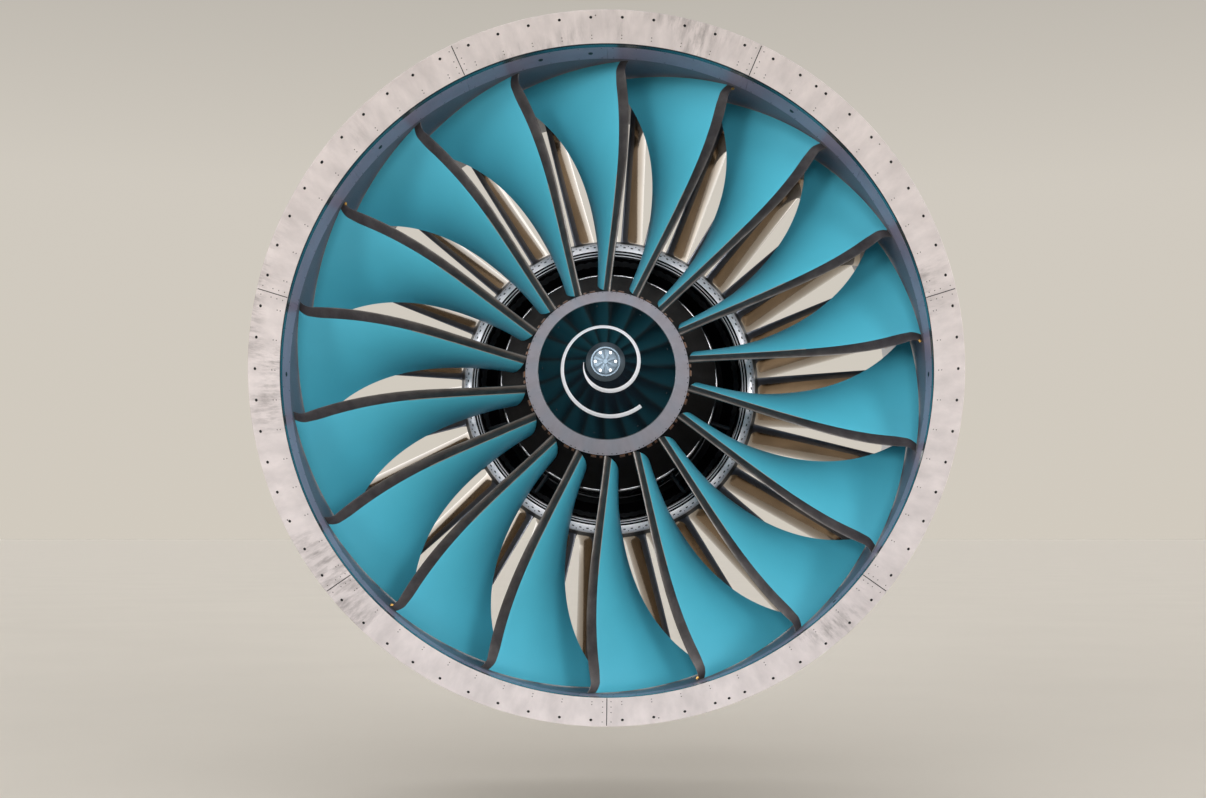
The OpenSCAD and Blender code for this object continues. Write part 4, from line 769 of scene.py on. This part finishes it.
def lip_hardware():
    """Bolts with their rivets, and at each seam a bead between two rows of rivets."""
    step = 360 / LIP_PARTS
    pitch = step / BOLTS_A_PART
    angles = [LIP_CLOCK + (k + 0.5) * pitch for k in range(LIP_PARTS * BOLTS_A_PART)]
    seams = [LIP_CLOCK + k * step for k in range(LIP_PARTS)]
    bolts = [on_lip(a, BOLT_SHARE) for a in (*angles, *EXTRA_BOLTS)]
    rivets = [on_lip(a, share) for a in angles for share in RIVET_SHARES]
    rivets += [on_lip(seam + side * SEAM_RIVET_ANGLE, share) for seam in seams for side in (-1, 1)
               for share in SEAM_RIVET_SHARES]
    marks = [on_lip(a, MARK_SHARE) for a in MARK_ANGLES]
    head = join([disc(8, 2.2, 1.2, 20), moved(disc(3.4, 0.8, 0.3, 6), Matrix.Translation((0, 0, 2.0)))])
    made = build("ring_bolts", studded(head, bolts), MATERIALS["bolt_black"], "static_structure")
    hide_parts("front_ring_bolts")
    build("ring_rivets", studded(disc(3.3, 0.7, 0.3, 12), rivets), MATERIALS["rivet_grey"],
          "static_structure")
    seam_bead = prism([(-2.3, -92), (2.3, -92), (2.3, 92), (-2.3, 92)], 0.7, 0.2)
    build("ring_seams", studded(seam_bead, [on_lip(seam, 0.5) for seam in seams]),
          MATERIALS["joints_and_gap_shade_black"], "static_structure")
    build("ring_marks", studded(disc(4.2, 0.4, 0.2, 12), marks), MATERIALS["rivet_grey"],
          "static_structure")


lip_hardware()


# Liners inside the fan case
PANELS, PANEL_GAP, BAND_W, TRACK_Y, TRACK_END, CASE_LEN = 14, 1.5, 73.0, 345.0, 862.0, 1850.0
LINER_OUT = TRACK_R + 30.0
# Stations and set-back of a black strip behind the ring's inner edge, painted shade for the gap there.
GAP_SHADE_START, GAP_SHADE_END, GAP_SHADE_SET = 2.0, 22.0, 2.5
BAND_END = GAP_SHADE_START + BAND_W
PANEL_SCREW_ROWS, PANEL_SCREW_SHARES = (92, 325), (0.04, 0.2, 0.4, 0.6, 0.8, 0.96)
SENSOR_Y, SENSOR_ANGLES = 205, (35, 90, 135, 270, 315, 348, 357)


def panel_r(y):
    """Radius of the front panels, which meet the track liner smoothly."""
    return mix(LIP_R, TRACK_R, ease((y - BAND_END) / (TRACK_Y - BAND_END)))


def liners():
    """The case's lining from front to back, with the panels' screws and sensors."""
    band = build("liner_band", revolve([(LIP_R, GAP_SHADE_END), (LINER_OUT, GAP_SHADE_END), (LINER_OUT, BAND_END),
                                        (LIP_R, BAND_END)], 360),
                 MATERIALS["liner_band"], "static_structure")
    # A black strip behind the ring's inner edge: painted shade for the gap there.
    gap_shade = build("ring_gap_shade", revolve([(LIP_R + GAP_SHADE_SET, GAP_SHADE_START), (LINER_OUT, GAP_SHADE_START),
                                       (LINER_OUT, GAP_SHADE_END), (LIP_R + GAP_SHADE_SET, GAP_SHADE_END)], 360),
                 MATERIALS["joints_and_gap_shade_black"], "static_structure")
    gap = math.degrees(PANEL_GAP / TRACK_R / 2)
    step = 360 / PANELS
    front, back = BAND_END + 1, TRACK_Y - 1
    inner = [(panel_r(y), y) for y in (mix(front, back, f) for f in spread(12))]
    profile = inner + [(LINER_OUT, back), (LINER_OUT, front)]
    panels = build("liner_panels", join([revolve(profile, 24, k * step + gap, (k + 1) * step - gap)
                                         for k in range(PANELS)]),
                   MATERIALS["liner_grey"], "static_structure")
    track = build("liner_track", revolve([(TRACK_R, TRACK_Y), (LINER_OUT, TRACK_Y),
                                          (LINER_OUT, TRACK_END), (TRACK_R, TRACK_END)], 360),
                  MATERIALS["liner_track"], "static_structure")
    rear = build("liner_rear", revolve([(TRACK_R, TRACK_END + 2), (LINER_OUT, TRACK_END + 2),
                                        (LINER_OUT, CASE_LEN - 4), (TRACK_R, CASE_LEN - 4)], 360),
                 MATERIALS["liner_rear"], "static_structure")
    for piece in (band, gap_shade, panels, track, rear):
        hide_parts("fan_case_liners")
    screws = [seat((k + f) * step, panel_r(y) - 0.3, y, -1, 0)
              for k in range(PANELS) for y in PANEL_SCREW_ROWS for f in PANEL_SCREW_SHARES]
    build("liner_screws", studded(disc(4, 0.8, 0.3, 12), screws), MATERIALS["screw_dark"],
          "static_structure")
    pads = [seat(a, panel_r(SENSOR_Y) - 0.4, SENSOR_Y, -1, 0) for a in SENSOR_ANGLES]
    oval = prism([(x, y * 1.7) for x, y in circle(13, 24)], 2.4, 1.2)
    build("liner_sensors", studded(join([oval, moved(disc(5, 1.5, 0.5, 12),
                                                     Matrix.Translation((0, 0, 2.2)))]), pads),
          MATERIALS["bolt_black"], "static_structure")


liners()


# Hub: filler plates' metal feet, the splitter's marks
FOOT_Y0, FOOT_Y1 = 172.0, 200.0
REAR_EDGE_Y0, REAR_EDGE_Y1, REAR_EDGE_CLOCK = 731, 738.6, 11.4
MARKS = VANES * 3
# Radius, station and normal of the splitter's slots and dots
SLOT_AT, DOT_AT = (857.0, 1102.4, 0.25, -0.97), (868.0, 1106.6, 0.4, -0.92)


def hub_details():
    """Two feet and a bright rear edge on each filler plate, the edge's brightness a painted highlight,
    and marks round the splitter.
    """
    feet = []
    for k in range(FAN_BLADES):
        mid = FAN_CLOCK + PITCH * (k + 0.5)
        for shift, half in ((-3.6, 1.0), (1.6, 1.9)):
            feet.append(revolve([(hub_line(FOOT_Y0) + 0.4, FOOT_Y0),
                                 (hub_line(FOOT_Y0) + 3.2, FOOT_Y0 + 1),
                                 (hub_line(FOOT_Y1) + 3.2, FOOT_Y1 - 1),
                                 (hub_line(FOOT_Y1) + 0.4, FOOT_Y1)],
                                4, mid + shift - half, mid + shift + half))
    build("filler_feet", join(feet), MATERIALS["bronze"], "fan")
    # The rear edge: a real joint, drawn near-white as a painted highlight along it.
    strip = [(hub_line(REAR_EDGE_Y0) + 0.2, REAR_EDGE_Y0), (hub_line(REAR_EDGE_Y0) + 1.4, REAR_EDGE_Y0),
             (hub_line(REAR_EDGE_Y1) + 1.4, REAR_EDGE_Y1), (hub_line(REAR_EDGE_Y1) + 0.2, REAR_EDGE_Y1)]
    build("filler_rear_edge", around(revolve(strip, 12, -6.6, 4.4), FAN_BLADES,
                                     FAN_CLOCK + REAR_EDGE_CLOCK),
          MATERIALS["splitter_metal"], "fan")
    slot = prism([(-7, -3.5), (7, -3.5), (7, 3.5), (-7, 3.5)], 1.2)
    dot = disc(3.2, 1.2, 0.3, 12)
    slots = [seat(360 / MARKS * k, *SLOT_AT) for k in range(MARKS)]
    dots = [seat(360 / MARKS * (k + 0.5), *DOT_AT) for k in range(MARKS)]
    build("splitter_marks", join([studded(slot, slots), studded(dot, dots)]), MATERIALS["bolt_black"],
          "static_structure")


hub_details()


# Splitter lip and core inlet
SPLIT_IN, SPLIT_CREST, SPLIT_OUT = 802, 834, 883
SPLIT_Y, SPLIT_BACK = 1100, 1140
LIP_RINGS = (("splitter_highlight_ring_inner", 806.5, 1118.5), ("splitter_highlight_ring_outer", 820, 1103.6))
HUB_WALL = [(632, 751), (648, 850), (650, 950), (640, 1080), (602, 1245)]
INLET_WALL = [(801, 1156), (770, 1205), (701, 1328)]


def skin(name, wall, near, far):
    """A thin black skin along a wall of (radius, station) points, between two offsets from it, as painted
    shade for the dark core inlet.
    """
    build(name, revolve([(r + near, y) for r, y in wall] + [(r + far, y) for r, y in wall[::-1]], 300),
          MATERIALS["inlet_painted_shade"], "static_structure")


def splitter():
    """The lip in two halves, black inside its crest as painted shade and near-white outside as a painted
    sheen, with two bright rings as painted highlights.
    """
    nose = [(SPLIT_IN, SPLIT_BACK), (804, 1126), (809, 1115), (816, 1107), (825, 1102),
            (SPLIT_CREST, SPLIT_Y)]
    band = [(SPLIT_CREST, SPLIT_Y), (845, 1100.6), (860, 1103), (871, 1108), (879, 1118),
            (SPLIT_OUT, SPLIT_BACK)]
    heel = [(SPLIT_CREST, SPLIT_BACK)]
    # The inside of the lip is black as painted shade.
    inner = build("splitter_inside", revolve(nose + heel, 300), MATERIALS["inlet_painted_shade"],
                  "static_structure")
    outer = build("splitter_band", revolve(band + heel, 300), MATERIALS["splitter_metal"],
                  "static_structure")
    for piece in (inner, outer):
        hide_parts("splitter_lip")
    # Two thin bright rings in the lip's nose, painted highlights where light catches it.
    for name, r, y in LIP_RINGS:
        build(name, revolve([(r - 3, y - 1.2), (r + 3, y - 3.6), (r + 4, y + 3), (r, y + 4)], 300),
              MATERIALS["splitter_metal"], "static_structure")


splitter()
# Black skins on the hub wall and the inlet's outer wall: painted shade deep in the core inlet.
skin("hub_wall_painted_shade", HUB_WALL, 0.3, 1.6)
skin("inlet_outer_painted_shade", INLET_WALL, -0.4, -1.8)


# Outside of the fan case
CASE_R, RIB_H, BOLT_CIRCLE_R, FLANGE_BACK = 1833.3, 11.8, 1865, 22.2
PIPE_PAIR_Y, PIPE_PAIR_GAP, REAR_PIPE_Y, THIN_PIPE_Y = 1034, 28, 1420, 720
FRONT_BOSS_Y, REAR_BOSS_Y, RIVET_ROWS = 600, 1300, (352, 848)


def hoop(r, y, radius, start, end):
    """A pipe round the case between two angles."""
    steps = 120
    return tube([polar(r, mix(start, end, i / steps), y) for i in range(steps + 1)], radius, 10)


def outside_case():
    """Pipes with their clips, the flanges' nuts, bosses and rivets."""
    clip = join([prism([(-16, -9), (16, -9), (16, 9), (-16, 9)], 26, 2),
                 moved(hex_bolt(5, 5), Matrix.Translation((0, -3.5, 26)))])
    runs = [(CASE_R + 18, PIPE_PAIR_Y - PIPE_PAIR_GAP / 2, 8, 20, 340),
            (CASE_R + 18, PIPE_PAIR_Y + PIPE_PAIR_GAP / 2, 8, 20, 340),
            (CASE_R + 20, REAR_PIPE_Y, 11, 214, 506), (CASE_R + 18, THIN_PIPE_Y, 6, 30, 330)]
    for i, (r, y, radius, start, end) in enumerate(runs):
        build(f"case_pipe_{i + 1}", hoop(r, y, radius, start, end), MATERIALS["pipe_metal"],
              "static_structure")
    clips = [seat(side * a, CASE_R, y, 1, 0) for side in (1, -1) for y in (PIPE_PAIR_Y, REAR_PIPE_Y)
             for a in range(24, 148, 12)]
    build("pipe_clips", studded(clip, clips), MATERIALS["strut_metal"], "static_structure")
    nuts = [seat(360 * (k + 0.5) / 72, BOLT_CIRCLE_R, y, 0, n) for k in range(72)
            for y, n in ((FLANGE_BACK, 1), (CASE_LEN - FLANGE_BACK, -1))]
    build("flange_nuts", studded(hex_bolt(8, 12), nuts), MATERIALS["cap_bolt"], "static_structure")
    boss = join([disc(34, 12, 3, 32)]
                + [moved(hex_bolt(5, 6), Matrix.Translation((24 * x, 24 * y, 11)))
                   for x, y in ((0.7, 0.7), (-0.7, 0.7), (0.7, -0.7), (-0.7, -0.7))])
    bosses = [seat(a, CASE_R + RIB_H - 0.3, FRONT_BOSS_Y, 1, 0) for a in range(8, 360, 32)]
    bosses += [seat(a, CASE_R - 0.3, REAR_BOSS_Y, 1, 0) for start in (12, 216)
               for a in range(start, start + 134, 22)]
    build("case_bosses", studded(boss, bosses), MATERIALS["unit_alloy"], "static_structure")
    rows = [seat(360 * k / 120, CASE_R + RIB_H, y, 1, 0) for k in range(120) for y in RIVET_ROWS]
    build("case_rivets", studded(disc(6, 3, 1, 12), rows), MATERIALS["screw_dark"],
          "static_structure")


outside_case()


# Control units and accessory gearbox
# Middle angle, half angle, front and rear station and height of each control unit
UNITS = [(268, 7, 920.6, 1160.3, 90), (286, 6, 930.6, 1150.3, 76), (76, 8, 920.6, 1150.3, 130),
         (100, 5, 930.6, 1140.3, 60)]
UNIT_FOOT = 34
# Angle, end station and radius of each unit on the gearbox
DRIVES = [(155, 1670.3, 56), (166, 1600.3, 48), (180, 1700.3, 60), (194, 1620.3, 52), (204, 1650.3, 56),
          (160, 1170.3, 50), (174, 1100.3, 60), (198, 1150.3, 56)]
GEARBOX_Y, DRIVE_R, REAR_CLAMP_Y, FRONT_CLAMP_Y = 1385, CASE_R + 97, 1530, 1240
COVER_R, COVER_ROWS = CASE_R + 129.7, (1318, 1452)


def outside_units():
    """Hardware on the control units and the gearbox, no further out than the solids reach."""
    plugs, screws = [], []
    for mid, half, y0, y1, h in UNITS:
        top = CASE_R + UNIT_FOOT + h
        for a in (mid - half + 1.8, mid + half - 1.8):
            screws += [seat(a, top - 0.3, mix(y0 + 26, y1 - 26, f), 1, 0) for f in spread(4)]
        for a in spread(4):
            plugs.append(seat(mix(mid - half + 1.6, mid + half - 1.6, a), top - h * 0.55, y1 - 0.5, 0, 1))
    build("unit_screws", studded(hex_bolt(5, 2.6), screws), MATERIALS["cap_bolt"], "static_structure")
    plug = join([disc(17, 12, 2, 24), moved(disc(13, 34, 3, 24), Matrix.Translation((0, 0, 11)))])
    build("unit_plugs", studded(plug, plugs), MATERIALS["strut_metal"], "static_structure")
    caps, bolts, bands = [], [], []
    for a, end, size in DRIVES:
        way = 1 if end > GEARBOX_Y else -1
        face = seat(a, DRIVE_R, end - way * 0.5, 0, way)
        caps.append(moved(disc(size * 0.62, 14, 4, 40), face))
        bolts += [face @ Matrix.Rotation(math.radians(45 * k), 4, "Z")
                  @ Matrix.Translation((size * 0.8, 0, 0)) for k in range(8)]
        ring = revolve([(size - 1, -9), (size + 5, -9), (size + 7, -6), (size + 7, 6), (size + 5, 9),
                        (size - 1, 9)], 48)
        bands.append(moved(([(x, z, y) for x, y, z in ring[0]], [f[::-1] for f in ring[1]]),
                           seat(a, DRIVE_R, REAR_CLAMP_Y if way > 0 else FRONT_CLAMP_Y, 0, way)))
    build("gearbox_caps", join(caps), MATERIALS["strut_metal"], "static_structure")
    build("gearbox_bolts", studded(hex_bolt(4.5, 6), bolts), MATERIALS["cap_bolt"],
          "static_structure")
    build("gearbox_clamps", join(bands), MATERIALS["pipe_metal"], "static_structure")
    rim = [seat(a, COVER_R, y, 1, 0) for a in range(152, 210, 4) for y in COVER_ROWS]
    build("gearbox_cover_bolts", studded(hex_bolt(6, 7), rim), MATERIALS["cap_bolt"],
          "static_structure")


outside_units()


# Core
CORE_FRONT, BURNER_Y, TURBINE_END, EXHAUST_END, FLANGE_FACE = 1760, 3180, 3850, 4060, 14.3
# Radius, station, way that the heads face, count and size of each row of bolts on the core
BOLT_ROWS = [(493, BURNER_Y - FLANGE_FACE, -1, 60, 6), (638, TURBINE_END - FLANGE_FACE, -1, 60, 6),
             (638, TURBINE_END + 14, 1, 60, 6), (634, EXHAUST_END, 1, 48, 5),
             (880, CORE_FRONT, 1, 72, 7), (700, CORE_FRONT, 1, 60, 7)]
# Angle, radius and the front and rear stations of the thrust struts' pins
STRUT_ANGLE, PIN_R, PIN_FRONT, PIN_REAR = 40, 694, 2175, 3890


def core_hardware():
    """Bolts on the flanges of the core's cases, and the thrust struts' pins."""
    build("core_bolts", join([moved(hex_bolt(size, size * 1.3), seat(360 * k / n, r, y, 0, way))
                              for r, y, way, n, size in BOLT_ROWS for k in range(n)]),
          MATERIALS["cap_bolt"], "static_structure")
    pins = [seat(a, PIN_R, y, 0, way) for a in (-STRUT_ANGLE, STRUT_ANGLE)
            for y, way in ((PIN_FRONT, -1), (PIN_REAR, 1))]
    pin = join([disc(30, 10, 2, 32), moved(hex_bolt(15, 16), Matrix.Translation((0, 0, 9)))])
    build("strut_pins", studded(pin, pins), MATERIALS["cap_bolt"], "static_structure")


core_hardware()


# Floor
def floor():
    """A plain matt floor out to the horizon."""
    half = FLOOR_HALF / MM
    ring = [(x, y, FLOOR_Z / MM) for x, y in ((-half, -half), (half, -half), (half, half), (-half, half))]
    piece = build("floor", (ring, [[0, 1, 2, 3]]),
                  material("floor_pale", tones(236, 230, 220, 0.006), (0.8, 0.9), clouds=0.4, grain=8,
                           bump=0.001, gloss=0.02), None)


floor()
